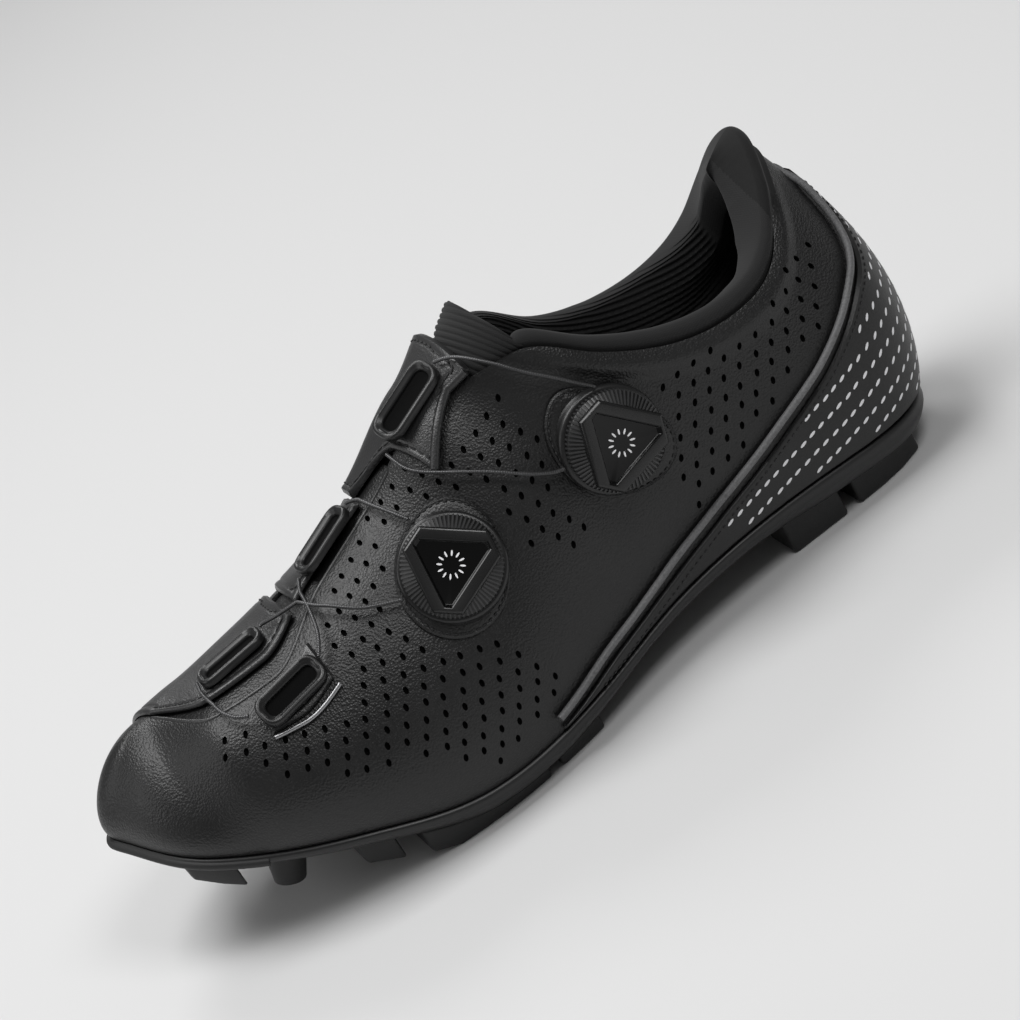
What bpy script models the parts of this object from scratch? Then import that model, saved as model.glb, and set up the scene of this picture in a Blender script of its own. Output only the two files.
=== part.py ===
"""Left cycling shoe: nylon sole with tread lugs, leather upper, strap, wire guides and two lace dials.

Metres, +Z up. The toe points to -X, the outer side of the foot to -Y, and the shoe stands on z = 0.
The upper follows one skin: a ring of ribs that rise from the feather line, where upper and sole
meet, to the top line of throat and collar. Every layer on or in the shoe is cut from that skin.
"""
import math
from collections import namedtuple

import bmesh
import bpy
import numpy as np
from mathutils import Matrix, Vector

# Driving sizes of the last
LENGTH = 0.283
BALL_WIDTH = 0.100
INSTEP_HEIGHT = 0.107
HEEL_HEIGHT = 0.106

# Walls and clearances
UPPER_WALL = 0.0018
SEAM_GAP = 0.0003
LAYER_GAP = 0.0004
COUNTER_WALL = 0.0012
TONGUE_GAP = 0.0006
GUIDE_GAP = 0.0009
PIPING_RADIUS = 0.0011
PIPING_SHARE = 0.022
PIPING_BACK = 0.12
COLLAR_PADDING = 0.0042
COLLAR_ROLL = 0.0030
TONGUE_WALL = 0.0030
STRAP_WALL = 0.0020
WING_WALL = 0.0013
INSOLE_WALL = 0.0030
INSOLE_INSET = 0.0052

# Sole
SOLE_FLANGE = 0.0010
SOLE_DRAFT = 0.0030
SLOT_LENGTH = 0.030
SLOT_WIDTH = 0.0085
SLOT_SPACING = 0.0140
SLOT_DEPTH = 0.0026
SCREW_RADIUS = 0.0034
SCREW_SPACING = 0.0110
STUD_RADIUS = 0.0085
STUD_SPACING = 0.036
STUD_DEPTH = 0.0130
STUD_RIM = 0.0022
STUD_STEP = 0.0040
STUD_TIP_SHARE = 0.55
STUD_ALONG = 0.136
STUD_SIDE = 0.005
CLEAT_ALONG = 0.329
CLEAT_SIDE = -0.001
SCREW_SHIFT = 0.004

# Lace dials, guides and wire
DIAL_RADIUS = 0.0155
DIAL_BASE_HEIGHT = 0.0040
KNOB_RADIUS = 0.0142
KNOB_HEIGHT = 0.0052
CAP_RADIUS = 0.0118
CAP_HEIGHT = 0.0016
GUIDE_WALL = 0.0022
GUIDE_RIM = 0.0028
WIRE_RADIUS = 0.00055
DIAL_FLANGE = 1.18
DIAL_FLANGE_WALL = 0.0012
CAP_TURN = 20.0
CAP_CLIP = 18.0

# How finely the skin is divided
RIB_STEPS = 8

# A section of the last, as shares: lengths along of LENGTH, widths of BALL_WIDTH, heights of
# INSTEP_HEIGHT or HEEL_HEIGHT, and leans in degrees above the level at the top of each rib.
# Outer widths run to -Y and inner ones to +Y, both from the line through the heel's middle.
Section = namedtuple("Section", (
    "along outer inner seat belly_out belly_in "
    "top_along top_outer top_inner instep_out instep_in heel_out heel_in lean_out lean_in"))

LAST = (
    Section(0.000, -0.090, 0.090, 0.434, 0.030, 0.030, 0.078, -0.060, 0.060, 0.655, 0.655, 0, 0, 0, 0),
    Section(0.011, -0.005, 0.180, 0.420, 0.034, 0.034, 0.081, -0.060, 0.060, 0.655, 0.655, 0, 0, 0, 0),
    Section(0.040, 0.160, 0.290, 0.382, 0.046, 0.042, 0.089, -0.060, 0.060, 0.656, 0.656, 0, 0, 0, 0),
    Section(0.085, 0.275, 0.370, 0.330, 0.060, 0.050, 0.102, -0.060, 0.060, 0.655, 0.655, 0, 0, 0, 0),
    Section(0.148, 0.360, 0.430, 0.264, 0.078, 0.062, 0.148, 0.180, 0.090, 0.652, 0.655, 0, 0, 18, 6),
    Section(0.223, 0.420, 0.455, 0.193, 0.092, 0.080, 0.219, 0.215, 0.090, 0.654, 0.676, 0, 0, 22, 8),
    Section(0.314, 0.455, 0.440, 0.118, 0.095, 0.090, 0.307, 0.125, 0.090, 0.743, 0.722, 0, 0, 16, 14),
    Section(0.420, 0.435, 0.385, 0.108, 0.075, 0.080, 0.403, 0.080, 0.095, 0.832, 0.800, 0, 0, 18, 20),
    Section(0.516, 0.375, 0.335, 0.132, 0.055, 0.060, 0.498, 0.120, 0.105, 0.968, 0.925, 0, 0, 30, 40),
    Section(0.597, 0.335, 0.315, 0.165, 0.060, 0.060, 0.595, 0.250, 0.215, 0, 0, 1.005, 0.985, 80, 85),
    Section(0.693, 0.315, 0.310, 0.182, 0.036, 0.034, 0.684, 0.292, 0.275, 0, 0, 0.835, 0.800, 84, 84),
    Section(0.788, 0.310, 0.310, 0.179, 0.030, 0.030, 0.774, 0.295, 0.285, 0, 0, 0.722, 0.740, 90, 90),
    Section(0.866, 0.300, 0.300, 0.163, 0.040, 0.040, 0.845, 0.278, 0.275, 0, 0, 0.722, 0.774, 88, 86),
    Section(0.917, 0.245, 0.245, 0.149, 0.084, 0.084, 0.892, 0.215, 0.220, 0, 0, 0.807, 0.885, 80, 80),
    Section(0.946, 0.145, 0.145, 0.142, 0.140, 0.140, 0.920, 0.115, 0.120, 0, 0, 0.929, 0.972, 72, 72),
    Section(0.957, 0.000, 0.000, 0.140, 0.168, 0.168, 0.936, 0.000, 0.000, 0, 0, 1.000, 1.000, 68, 68),
)
HEEL_ROW = len(LAST) - 1
RING = 2 * HEEL_ROW
RIB_RISE = 0.33
RIB_REACH = 0.33
CROWN_REACH = 0.36

# Depth of the sole plate below the feather line, and how much of its width its underside keeps
SolePlate = namedtuple("SolePlate", "along depth")
PLATE = (
    SolePlate(0.000, 0.0040),
    SolePlate(0.085, 0.0048),
    SolePlate(0.223, 0.0060),
    SolePlate(0.314, 0.0072),
    SolePlate(0.420, 0.0068),
    SolePlate(0.540, 0.0052),
    SolePlate(0.700, 0.0062),
    SolePlate(0.788, 0.0085),
    SolePlate(0.926, 0.0085),
    SolePlate(0.975, 0.0080),
)

# Tread lugs: start and stop along LENGTH, inset of the outer edge and width as shares of
# BALL_WIDTH, and the depth below the plate at each end, or none where the lug stands on the floor
Lug = namedtuple("Lug", "name side start stop inset width depth_start depth_stop")
LUGS = (
    Lug("toe_lug_lateral", -1, 0.040, 0.080, 0.045, 0.150, 0.0090, 0.0104),
    Lug("toe_lug_medial", 1, 0.035, 0.080, 0.045, 0.150, 0.0090, 0.0104),
    Lug("forefoot_lug_front_lateral", -1, 0.186, 0.222, 0.030, 0.160, 0.0080, 0.0090),
    Lug("forefoot_lug_front_medial", 1, 0.180, 0.222, 0.030, 0.170, 0.0080, 0.0090),
    Lug("forefoot_lug_lateral", -1, 0.245, 0.388, 0.012, 0.200, 0.0085, None),
    Lug("forefoot_lug_medial", 1, 0.245, 0.388, 0.012, 0.200, 0.0085, None),
    Lug("forefoot_lug_rear_lateral", -1, 0.402, 0.462, 0.012, 0.160, None, None),
    Lug("forefoot_lug_rear_medial", 1, 0.402, 0.455, 0.012, 0.150, None, None),
    Lug("heel_lug_front_lateral", -1, 0.735, 0.806, 0.020, 0.190, None, None),
    Lug("heel_lug_front_medial", 1, 0.735, 0.806, 0.020, 0.190, None, None),
    Lug("heel_lug_rear_lateral", -1, 0.822, 0.912, 0.020, 0.190, None, None),
    Lug("heel_lug_rear_medial", 1, 0.822, 0.912, 0.020, 0.190, None, None),
)

# Layers over the upper between two rows of the last, with the share across the skin at which each
# ends: 0 to 1 runs up the outer rib, 1 to 2 across the crown, and 2 to 3 down the inner rib
Layer = namedtuple("Layer", "name row_start row_stop edge_start edge_stop inner_ribs")
WINGS = (
    Layer("wing_front", 3.08, 5.62, 1.22, 1.20, 4),
    Layer("wing_rear", 5.74, 6.92, 1.22, 1.12, 4),
)
STRAP = Layer("instep_strap", 6.96, 8.58, 0.82, 1.05, 5)
STRAP_CORNER_ROW = 7.58
STRAP_CORNER_SHARE = 1.45
TAB = Layer("lateral_tab", 4.62, 5.58, 0.72, 0.72, 0)
TAB_WIDTH_SHARE = 0.19
BAR_BELOW_START = 0.022
BAR_BELOW_MIDDLE = 0.030
BAR_BELOW_STOP = 0.036
TONGUE = Layer("tongue", 3.60, 8.30, 1.0, 1.0, 1)
COLLAR_START = 9.16

# Where the tongue stands out of the collar: row, share at which it ends on each side, lift
TongueTop = namedtuple("TongueTop", "row edge lift")
TONGUE_TOP = (
    TongueTop(8.54, 1.06, -0.0036),
    TongueTop(8.74, 1.09, -0.0024),
    TongueTop(8.88, 1.08, -0.0010),
    TongueTop(9.02, 1.08, 0.0008),
)

# Wire guides: a place on the skin, a turn on it, length and width outside, and the layer below
Guide = namedtuple("Guide", "name row across turn length width wall_below")
GUIDES = (
    Guide("guide_strap", 7.96, 1.12, 14, 0.0250, 0.0120, STRAP_WALL),
    Guide("guide_rear", 6.42, 1.225, 0, 0.0225, 0.0105, WING_WALL),
    Guide("guide_front", 4.71, 1.480, 0, 0.0225, 0.0105, WING_WALL),
    Guide("guide_lateral", 5.10, 0.835, 0, 0.0230, 0.0105, WING_WALL),
)

# Lace dials: a place on the outer rib
Dial = namedtuple("Dial", "name row across")
DIALS = (
    Dial("front", 7.06, 0.630),
    Dial("rear", 9.32, 0.617),
)

# Wire routes from one fitting to the next, hand-placed: row, share across and lift in millimetres
REAR_UPPER = (
    (8.44, 1.22, 4.4), (8.58, 1.16, 4.4), (8.78, 1.04, 4.6), (9.02, 0.93, 4.5), (9.30, 0.865, 4.4),
    (9.50, 0.838, 4.2))
REAR_LOWER = (
    (7.475, 0.985, 4.4), (7.47, 0.90, 4.3), (7.60, 0.82, 4.0), (7.87, 0.73, 3.8), (8.17, 0.660, 3.8),
    (8.46, 0.625, 3.6), (8.64, 0.614, 3.5))
FRONT_UPPER = ((6.86, 1.17, 4.0), (6.93, 1.06, 4.0), (6.99, 0.94, 3.8), (7.10, 0.818, 3.4))
GUIDE_CROSS = ((5.96, 1.16, 4.0), (5.90, 1.05, 4.2), (5.84, 0.939, 4.2), (5.74, 0.85, 4.2), (5.59, 0.802, 4.0))
DIAL_CROSS = (
    (5.285, 1.465, 3.9), (5.36, 1.42, 4.0), (5.59, 1.196, 4.2), (5.84, 0.955, 4.2), (6.01, 0.853, 4.2),
    (6.22, 0.76, 3.9), (6.52, 0.685, 3.4))
TOE_TURN = ((4.50, 0.840, 4.0), (4.32, 0.88, 4.0), (4.16, 0.98, 4.0), (4.03, 1.20, 4.0), (4.05, 1.44, 4.0))

# Upper edge of the heel counter, which carries the piping: row, share up the rib
CounterEdge = namedtuple("CounterEdge", "row height")
COUNTER = (
    CounterEdge(7.00, 0.040),
    CounterEdge(7.46, 0.070),
    CounterEdge(8.60, 0.080),
    CounterEdge(9.28, 0.110),
    CounterEdge(9.84, 0.178),
    CounterEdge(10.43, 0.264),
    CounterEdge(11.26, 0.417),
    CounterEdge(12.30, 0.536),
    CounterEdge(13.00, 0.564),
    CounterEdge(14.00, 0.570),
    CounterEdge(14.40, 0.630),
    CounterEdge(14.70, 0.770),
    CounterEdge(14.88, 0.930),
    CounterEdge(15.00, 0.940),
)
COUNTER_FOOT = 0.015

STATION_STEP = 0.0072
LEAF_ROW = 3


def smooth_ring(values):
    """Second derivatives of the closed cubic spline through one value for each ring index."""
    count = len(values)
    system = np.zeros((count, count))
    right = np.zeros(count)
    for i in range(count):
        before, after = (i - 1) % count, (i + 1) % count
        system[i, before] += 1.0
        system[i, i] += 4.0
        system[i, after] += 1.0
        right[i] = 6.0 * (values[before] - 2.0 * values[i] + values[after])
    return np.linalg.solve(system, right)


class SmoothRing:
    """A closed smooth curve through one value for each rib of the ring."""

    def __init__(self, values):
        self.values = np.asarray(values, float)
        self.bends = smooth_ring(self.values)

    def at(self, place):
        count = len(self.values)
        place = place % count
        i = int(place) % count
        j = (i + 1) % count
        t = place - int(place)
        line = self.values[i] * (1 - t) + self.values[j] * t
        bow = ((1 - t) ** 3 - (1 - t)) * self.bends[i] + (t ** 3 - t) * self.bends[j]
        return line + bow / 6.0


class SteadyRing:
    """A closed curve through the ribs' values that never swings past them."""

    def __init__(self, values):
        self.values = np.asarray(values, float)
        count = len(self.values)
        steps = [self.values[(i + 1) % count] - self.values[i] for i in range(count)]
        self.slopes = []
        for i in range(count):
            before, after = steps[i - 1], steps[i]
            rising = before * after > 0
            self.slopes.append(2 * before * after / (before + after) if rising else 0.0)

    def at(self, place):
        count = len(self.values)
        place = place % count
        i = int(place) % count
        j = (i + 1) % count
        t = place - int(place)
        start = (2 * t ** 3 - 3 * t ** 2 + 1) * self.values[i] + (t ** 3 - 2 * t ** 2 + t) * self.slopes[i]
        stop = (3 * t ** 2 - 2 * t ** 3) * self.values[j] + (t ** 3 - t ** 2) * self.slopes[j]
        return start + stop


def unit(vector):
    return vector / max(np.linalg.norm(vector), 1e-12)


class Skin:
    """The outer face of the upper, from the table of sections.

    A place on it is a row of the table and a share across: 0 to 1 up the outer rib, 1 to 2 over
    the crown between the top lines, 2 to 3 down the inner rib.
    """

    def __init__(self):
        ribs = []
        for index in range(RING):
            inner_side = index > HEEL_ROW
            ribs.append(self.rib_values(LAST[RING - index if inner_side else index], inner_side))
        columns = list(zip(*ribs))
        self.foot = [SmoothRing(column) for column in columns[:3]]
        self.head = [SteadyRing(column) for column in columns[3:6]]
        self.belly = SteadyRing(columns[6])
        self.lean = SteadyRing(columns[7])

    @staticmethod
    def rib_values(section, inner_side):
        """Foot point, head point, belly and lean of one rib, in metres and radians."""
        if inner_side:
            wide, top_wide, belly = section.inner, section.top_inner, section.belly_in
            high = section.instep_in * INSTEP_HEIGHT + section.heel_in * HEEL_HEIGHT
            lean = section.lean_in
        else:
            wide, top_wide, belly = -section.outer, -section.top_outer, section.belly_out
            high = section.instep_out * INSTEP_HEIGHT + section.heel_out * HEEL_HEIGHT
            lean = section.lean_out
        return (
            (section.along - 0.5) * LENGTH, wide * BALL_WIDTH, section.seat * HEEL_HEIGHT,
            (section.top_along - 0.5) * LENGTH, top_wide * BALL_WIDTH, high,
            belly * BALL_WIDTH, math.radians(lean))

    def feather(self, place):
        return np.array([curve.at(place) for curve in self.foot])

    def outward(self, place):
        """The level way out of the shoe at a place on the feather line."""
        step = self.feather(place + 0.01) - self.feather(place - 0.01)
        return unit(np.array([step[1], -step[0], 0.0]))

    def top(self, place):
        head = np.array([curve.at(place) for curve in self.head])
        if min(place % RING, RING - place % RING) <= LEAF_ROW:
            other = np.array([curve.at(RING - place) for curve in self.head])
            head = (head + other) / 2
        return head

    def rise(self, place):
        """The way in which a rib reaches its top."""
        lean = self.lean.at(place)
        return -self.outward(place) * math.cos(lean) + np.array([0.0, 0.0, math.sin(lean)])

    def rib(self, place, share):
        foot, head = self.feather(place), self.top(place)
        span = np.linalg.norm(head - foot)
        low = foot + self.outward(place) * self.belly.at(place)
        low[2] += RIB_RISE * (head[2] - foot[2])
        high = head - self.rise(place) * RIB_REACH * span
        s = 1 - share
        return s ** 3 * foot + 3 * s * s * share * low + 3 * s * share * share * high + share ** 3 * head

    def crown(self, row, share):
        """The surface that would close the throat, which tongue, wings and strap follow."""
        start, stop = self.top(row), self.top(RING - row)
        reach = CROWN_REACH * np.linalg.norm(stop - start)
        low = start + self.rise(row) * reach
        high = stop + self.rise(RING - row) * reach
        s = 1 - share
        return s ** 3 * start + 3 * s * s * share * low + 3 * s * share * share * high + share ** 3 * stop

    def flat(self, row, across):
        if across <= 1:
            return self.rib(row, across)
        if across <= 2:
            return self.crown(row, across - 1)
        return self.rib(RING - row, 3 - across)

    def normal(self, row, across):
        """The way out of the surface, from two short steps that stay on one stretch of it."""
        low, high = math.floor(across), math.floor(across) + 1
        if row <= LEAF_ROW and 1 <= across <= 2:
            low, high = (0, 1) if across < 1.5 else (2, 3)
            across = min(max(across, low), high)
            across = 1 if across < 1.5 else 2
        step = 0.004
        before, after = max(across - step, low), min(across + step, high)
        side = self.flat(row, after - 1e-9) - self.flat(row, before + 1e-9)
        ahead = self.flat(min(row + step, HEEL_ROW), across) - self.flat(max(row - step, 0), across)
        return unit(np.cross(ahead, side))

    def ring_normal(self, place, share):
        step = 0.004
        side = self.rib(place, min(share + step, 1)) - self.rib(place, max(share - step, 0))
        ahead = self.rib(place + step, share) - self.rib(place - step, share)
        return unit(np.cross(ahead, side))

    def point(self, row, across, lift=0.0):
        return self.flat(row, across) + self.normal(row, across) * lift

    def ring_point(self, place, share, lift=0.0):
        return self.rib(place, share) + self.ring_normal(place, share) * lift


SKIN = Skin()
FINE = [SKIN.feather(place) for place in np.linspace(0, RING, 601)]
HALF = len(FINE) // 2 + 1


def seat_height(x):
    """Height of the feather line."""
    return float(np.interp(x, [p[0] for p in FINE[:HALF]], [p[2] for p in FINE[:HALF]]))


def outline(x, side):
    """Half width of the feather line on one side, -1 outer or 1 inner, as a signed y."""
    points = FINE[:HALF] if side < 0 else FINE[HALF - 1:][::-1]
    return float(np.interp(x, [p[0] for p in points], [p[1] for p in points]))


def along(share):
    return (share - 0.5) * LENGTH


def plate_depth(x):
    return float(np.interp(x, [along(row.along) for row in PLATE], [row.depth for row in PLATE]))


def plate_floor(x):
    """Height of the sole plate's underside."""
    return seat_height(x) - SEAM_GAP - plate_depth(x)


def stations():
    """Rows and shares of rows where the skin is divided, closer where the outline is short."""
    found = []
    for row in range(HEEL_ROW):
        reach = np.linalg.norm(SKIN.feather(row + 1) - SKIN.feather(row))
        steps = max(4 if row == HEEL_ROW - 1 else 2, round(reach / STATION_STEP))
        found += [row + k / steps for k in range(steps)]
    return found + [float(HEEL_ROW)]


ROWS = stations()
RING_PLACES = ROWS + [RING - row for row in reversed(ROWS[1:-1])]


def shoe_collection(name):
    group = bpy.data.collections.new(name)
    bpy.context.scene.collection.children.link(group)
    return group


for old in list(bpy.data.objects):
    bpy.data.objects.remove(old)
SHOE = shoe_collection("cycling_shoe")
CUTTERS = shoe_collection("cutters")


def material(name, colour, roughness, metallic=0.0):
    finish = bpy.data.materials.new(name)
    finish.use_nodes = True
    shader = finish.node_tree.nodes["Principled BSDF"]
    shader.inputs["Base Color"].default_value = (*colour, 1.0)
    shader.inputs["Roughness"].default_value = roughness
    shader.inputs["Metallic"].default_value = metallic
    return finish


LEATHER = material("leather", (0.016, 0.016, 0.017), 0.55)
COUNTER_SKIN = material("counter_synthetic", (0.020, 0.020, 0.022), 0.5)
KNIT = material("tongue_knit", (0.012, 0.012, 0.013), 0.9)
LINING = material("collar_lining", (0.015, 0.015, 0.016), 0.85)
TAPE = material("piping_tape", (0.30, 0.30, 0.31), 0.5)
NYLON = material("sole_nylon", (0.014, 0.014, 0.015), 0.45)
RUBBER = material("tread_rubber", (0.010, 0.010, 0.010), 0.75)
PLASTIC = material("guide_plastic", (0.014, 0.014, 0.015), 0.35)
GLOSS = material("dial_gloss", (0.008, 0.008, 0.008), 0.12)
STEEL = material("wire_steel", (0.10, 0.10, 0.10), 0.3, 1.0)
SCREW_STEEL = material("screw_steel", (0.35, 0.35, 0.35), 0.35, 1.0)
FOAM = material("insole_foam", (0.012, 0.012, 0.012), 0.9)


def add_mesh(name, bm, finish, group=None):
    mesh = bpy.data.meshes.new(name)
    bm.to_mesh(mesh)
    bm.free()
    mesh.shade_smooth()
    mesh.set_sharp_from_angle(angle=math.radians(40))
    mesh.materials.append(finish)
    piece = bpy.data.objects.new(name, mesh)
    (group or SHOE).objects.link(piece)
    return piece


def sheet(name, grid, finish, closed=False):
    """An open surface from columns of points, facing out where columns by rows does."""
    bm = bmesh.new()
    columns = [[bm.verts.new(point) for point in column] for column in grid]
    if closed:
        columns.append(columns[0])
    for left, right in zip(columns, columns[1:]):
        for low in range(len(left) - 1):
            bm.faces.new((left[low], right[low], right[low + 1], left[low + 1]))
    bmesh.ops.remove_doubles(bm, verts=bm.verts, dist=1e-6)
    return add_mesh(name, bm, finish)


def give_wall(piece, wall, outward=True):
    solid = piece.modifiers.new("wall", "SOLIDIFY")
    solid.thickness = wall
    solid.offset = 1.0 if outward else -1.0
    solid.use_even_offset = True
    return piece


def stack(name, rings, finish, group=None):
    """A solid from level rings of the same count, each closed across at top and bottom."""
    bm = bmesh.new()
    levels = [[bm.verts.new(point) for point in ring] for ring in rings]
    count = len(levels[0])
    for low, high in zip(levels, levels[1:]):
        for i in range(count):
            j = (i + 1) % count
            bm.faces.new((low[i], low[j], high[j], high[i]))
    for ring in (levels[0], levels[-1]):
        bm.faces.new((ring[0], ring[1], ring[-1]))
        for i in range(1, count // 2 - 1):
            bm.faces.new((ring[i], ring[i + 1], ring[-i - 1], ring[-i]))
        middle = count // 2
        bm.faces.new((ring[middle - 1], ring[middle], ring[middle + 1]))
    bmesh.ops.recalc_face_normals(bm, faces=bm.faces)
    return add_mesh(name, bm, finish, group)


def loft(name, sections, finish, group=None):
    """A solid through closed sections of the same count, with flat ends."""
    bm = bmesh.new()
    loops = [[bm.verts.new(point) for point in section] for section in sections]
    count = len(loops[0])
    for back, front in zip(loops, loops[1:]):
        for i in range(count):
            j = (i + 1) % count
            bm.faces.new((back[i], back[j], front[j], front[i]))
    bm.faces.new(loops[0])
    bm.faces.new(loops[-1])
    bmesh.ops.recalc_face_normals(bm, faces=bm.faces)
    return add_mesh(name, bm, finish, group)


def frame_at(row, across, lift, turn=0.0):
    """A frame on the skin: x along the shoe toward the heel, y across toward the inner side."""
    out = Vector(SKIN.normal(row, across))
    ahead = Vector(SKIN.flat(row + 0.02, across) - SKIN.flat(row - 0.02, across))
    ahead = (ahead - out * ahead.dot(out)).normalized()
    side = out.cross(ahead)
    matrix = Matrix((ahead, side, out)).transposed().to_4x4()
    matrix.translation = Vector(SKIN.point(row, across, lift))
    return matrix @ Matrix.Rotation(math.radians(turn), 4, "Z")


def make_upper():
    grid = [[SKIN.rib(place, k / RIB_STEPS) for k in range(RIB_STEPS + 1)] for place in RING_PLACES]
    return give_wall(sheet("upper", grid, LEATHER, closed=True), UPPER_WALL, outward=False)


def make_sole_plate():
    rings = []
    for out, drop in ((0.0, 0.0), (SOLE_FLANGE, 0.12), (SOLE_FLANGE, 0.40), (-SOLE_DRAFT, 1.0)):
        ring = []
        for place in RING_PLACES:
            point = SKIN.feather(place) + SKIN.outward(place) * out
            point[2] += -SEAM_GAP - drop * plate_depth(SKIN.feather(place)[0])
            ring.append(point)
        rings.append(ring)
    return stack("sole_plate", rings, NYLON)


def make_insole():
    rings = []
    for inset, level in ((0.0, 0.0), (0.0, 0.8), (1.5, 1.0)):
        ring = []
        for place in RING_PLACES:
            point = SKIN.feather(place) - SKIN.outward(place) * (INSOLE_INSET + inset * SEAM_GAP)
            point[2] += SEAM_GAP + level * INSOLE_WALL
            ring.append(point)
        rings.append(ring)
    return stack("insole", rings, FOAM)


def make_lug(lug):
    sections = []
    steps = max(2, round((lug.stop - lug.start) * LENGTH / 0.008))
    for k in range(steps + 1):
        share = lug.start + (lug.stop - lug.start) * k / steps
        x = along(share)
        edge = outline(x, lug.side) - lug.side * (lug.inset * BALL_WIDTH + SOLE_DRAFT)
        inner = edge - lug.side * lug.width * BALL_WIDTH
        top = plate_floor(x) - SEAM_GAP
        start_depth = top if lug.depth_start is None else lug.depth_start
        stop_depth = top if lug.depth_stop is None else lug.depth_stop
        depth = start_depth + (stop_depth - start_depth) * k / steps
        floor = max(0.0, top - depth)
        draft = 0.12 * (top - floor) * lug.side
        sections.append(((x, edge, top), (x, inner, top), (x, inner + draft, floor), (x, edge - draft, floor)))
    return loft(lug.name, sections, RUBBER)




def aligned_rows(start, stop):
    inside = [row for row in ROWS if start + 0.08 < row < stop - 0.08]
    return [start, *inside, stop]


def levels_across(edge, crown_steps, inner_ribs):
    """Shares across from an edge over the crown, then down the inner rib on the upper's own levels."""
    crown = [edge + (2 - edge) * k / crown_steps for k in range(crown_steps + 1)]
    return crown + [2 + (k + 1) / RIB_STEPS for k in range(inner_ribs)]


def make_wing(layer):
    rows = aligned_rows(layer.row_start, layer.row_stop)
    grid = []
    for row in rows:
        part = (row - layer.row_start) / (layer.row_stop - layer.row_start)
        edge = layer.edge_start + (layer.edge_stop - layer.edge_start) * part
        grid.append([SKIN.point(row, across, LAYER_GAP) for across in levels_across(edge, 4, layer.inner_ribs)])
    return give_wall(sheet(layer.name, grid, LEATHER), WING_WALL)


def make_strap():
    """The strap's front edge turns back in a corner toward its outer end."""
    rows = aligned_rows(STRAP.row_start, STRAP.row_stop)
    grid = []
    for row in rows:
        part = (row - STRAP.row_start) / (STRAP.row_stop - STRAP.row_start)
        edge = STRAP.edge_start + (STRAP.edge_stop - STRAP.edge_start) * part
        column = []
        levels = [max(edge, 1 - (2 - k) / RIB_STEPS) for k in range(2)]
        levels = [edge] + levels + levels_across(max(1.0, edge), 6, STRAP.inner_ribs)
        for across in levels:
            turn = max(0.0, (STRAP_CORNER_SHARE - across) / (STRAP_CORNER_SHARE - STRAP.edge_start))
            shift = (STRAP_CORNER_ROW - STRAP.row_start) * math.sin(0.5 * math.pi * turn) * (1 - part)
            column.append(SKIN.point(row + shift, across, LAYER_GAP))
        grid.append(column)
    return give_wall(sheet(STRAP.name, grid, LEATHER), STRAP_WALL)


def make_tab():
    rows = aligned_rows(TAB.row_start, TAB.row_stop)
    shares = [TAB.edge_start + TAB_WIDTH_SHARE * k / 3 for k in range(4)]
    grid = [[SKIN.point(row, share, LAYER_GAP) for share in shares] for row in rows]
    give_wall(sheet(TAB.name, grid, LEATHER), WING_WALL)
    bar = [(TAB.row_start, TAB.edge_start - BAR_BELOW_START),
           ((TAB.row_start + TAB.row_stop) / 2, TAB.edge_start - BAR_BELOW_MIDDLE),
           (TAB.row_stop, TAB.edge_start - BAR_BELOW_STOP)]
    points = [SKIN.point(row, share, LAYER_GAP + 0.0010) for row, share in smooth_route(bar, 8)]
    tube("tab_bar", points, 0.0010, SCREW_STEEL)


def make_tongue():
    under = -(UPPER_WALL + TONGUE_GAP)
    grid = []
    for row in aligned_rows(TONGUE.row_start, TONGUE.row_stop):
        shares = [1 - 1 / RIB_STEPS, 1.0] + [1 + k / 5 for k in range(1, 5)] + [2.0, 2 + 1 / RIB_STEPS]
        grid.append([SKIN.point(row, share, under) for share in shares])
    for top in TONGUE_TOP:
        narrow = [top.edge + (3 - 2 * top.edge) * k / 7 for k in range(8)]
        grid.append([SKIN.point(top.row, share, top.lift) for share in narrow])
    return give_wall(sheet(TONGUE.name, grid, KNIT), TONGUE_WALL, outward=False)


def edge_height(row):
    return float(np.interp(row, [edge.row for edge in COUNTER], [edge.height for edge in COUNTER]))


def make_counter():
    """The panel ends below the piping, and keeps the upper's own levels where it backs on it."""
    first = COUNTER[0].row
    half = [first] + [row for row in ROWS if first + 0.1 < row < HEEL_ROW]
    places = half + [float(HEEL_ROW)] + [RING - row for row in reversed(half)]
    levels = [COUNTER_FOOT] + [k / RIB_STEPS for k in range(1, RIB_STEPS)]
    grid = []
    for place in places:
        row = min(place, RING - place)
        back = PIPING_BACK if row < HEEL_ROW else 0.0
        top = max(edge_height(row - back) - PIPING_SHARE, COUNTER_FOOT * 1.5)
        shares = [min(level, top) for level in levels] + [top]
        grid.append([SKIN.ring_point(place, share, LAYER_GAP) for share in shares])
    return give_wall(sheet("heel_counter", grid, COUNTER_SKIN), COUNTER_WALL)


def make_piping(name, inner_side):
    rows = [COUNTER[0].row, 7.4, 7.9, 8.4, 8.9, 9.4, 9.9, 10.4, 10.9, 11.4, 11.9, 12.3, 12.7,
            13.1, 13.5, 13.8, 14.1, 14.3, 14.45, 14.6, 14.7, 14.8, 14.88]
    points = []
    for row in rows:
        place = RING - row if inner_side else row
        share = edge_height(row) + PIPING_SHARE
        points.append(SKIN.ring_point(place, share, LAYER_GAP + PIPING_RADIUS))
    tube(name, points, PIPING_RADIUS, TAPE)


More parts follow.
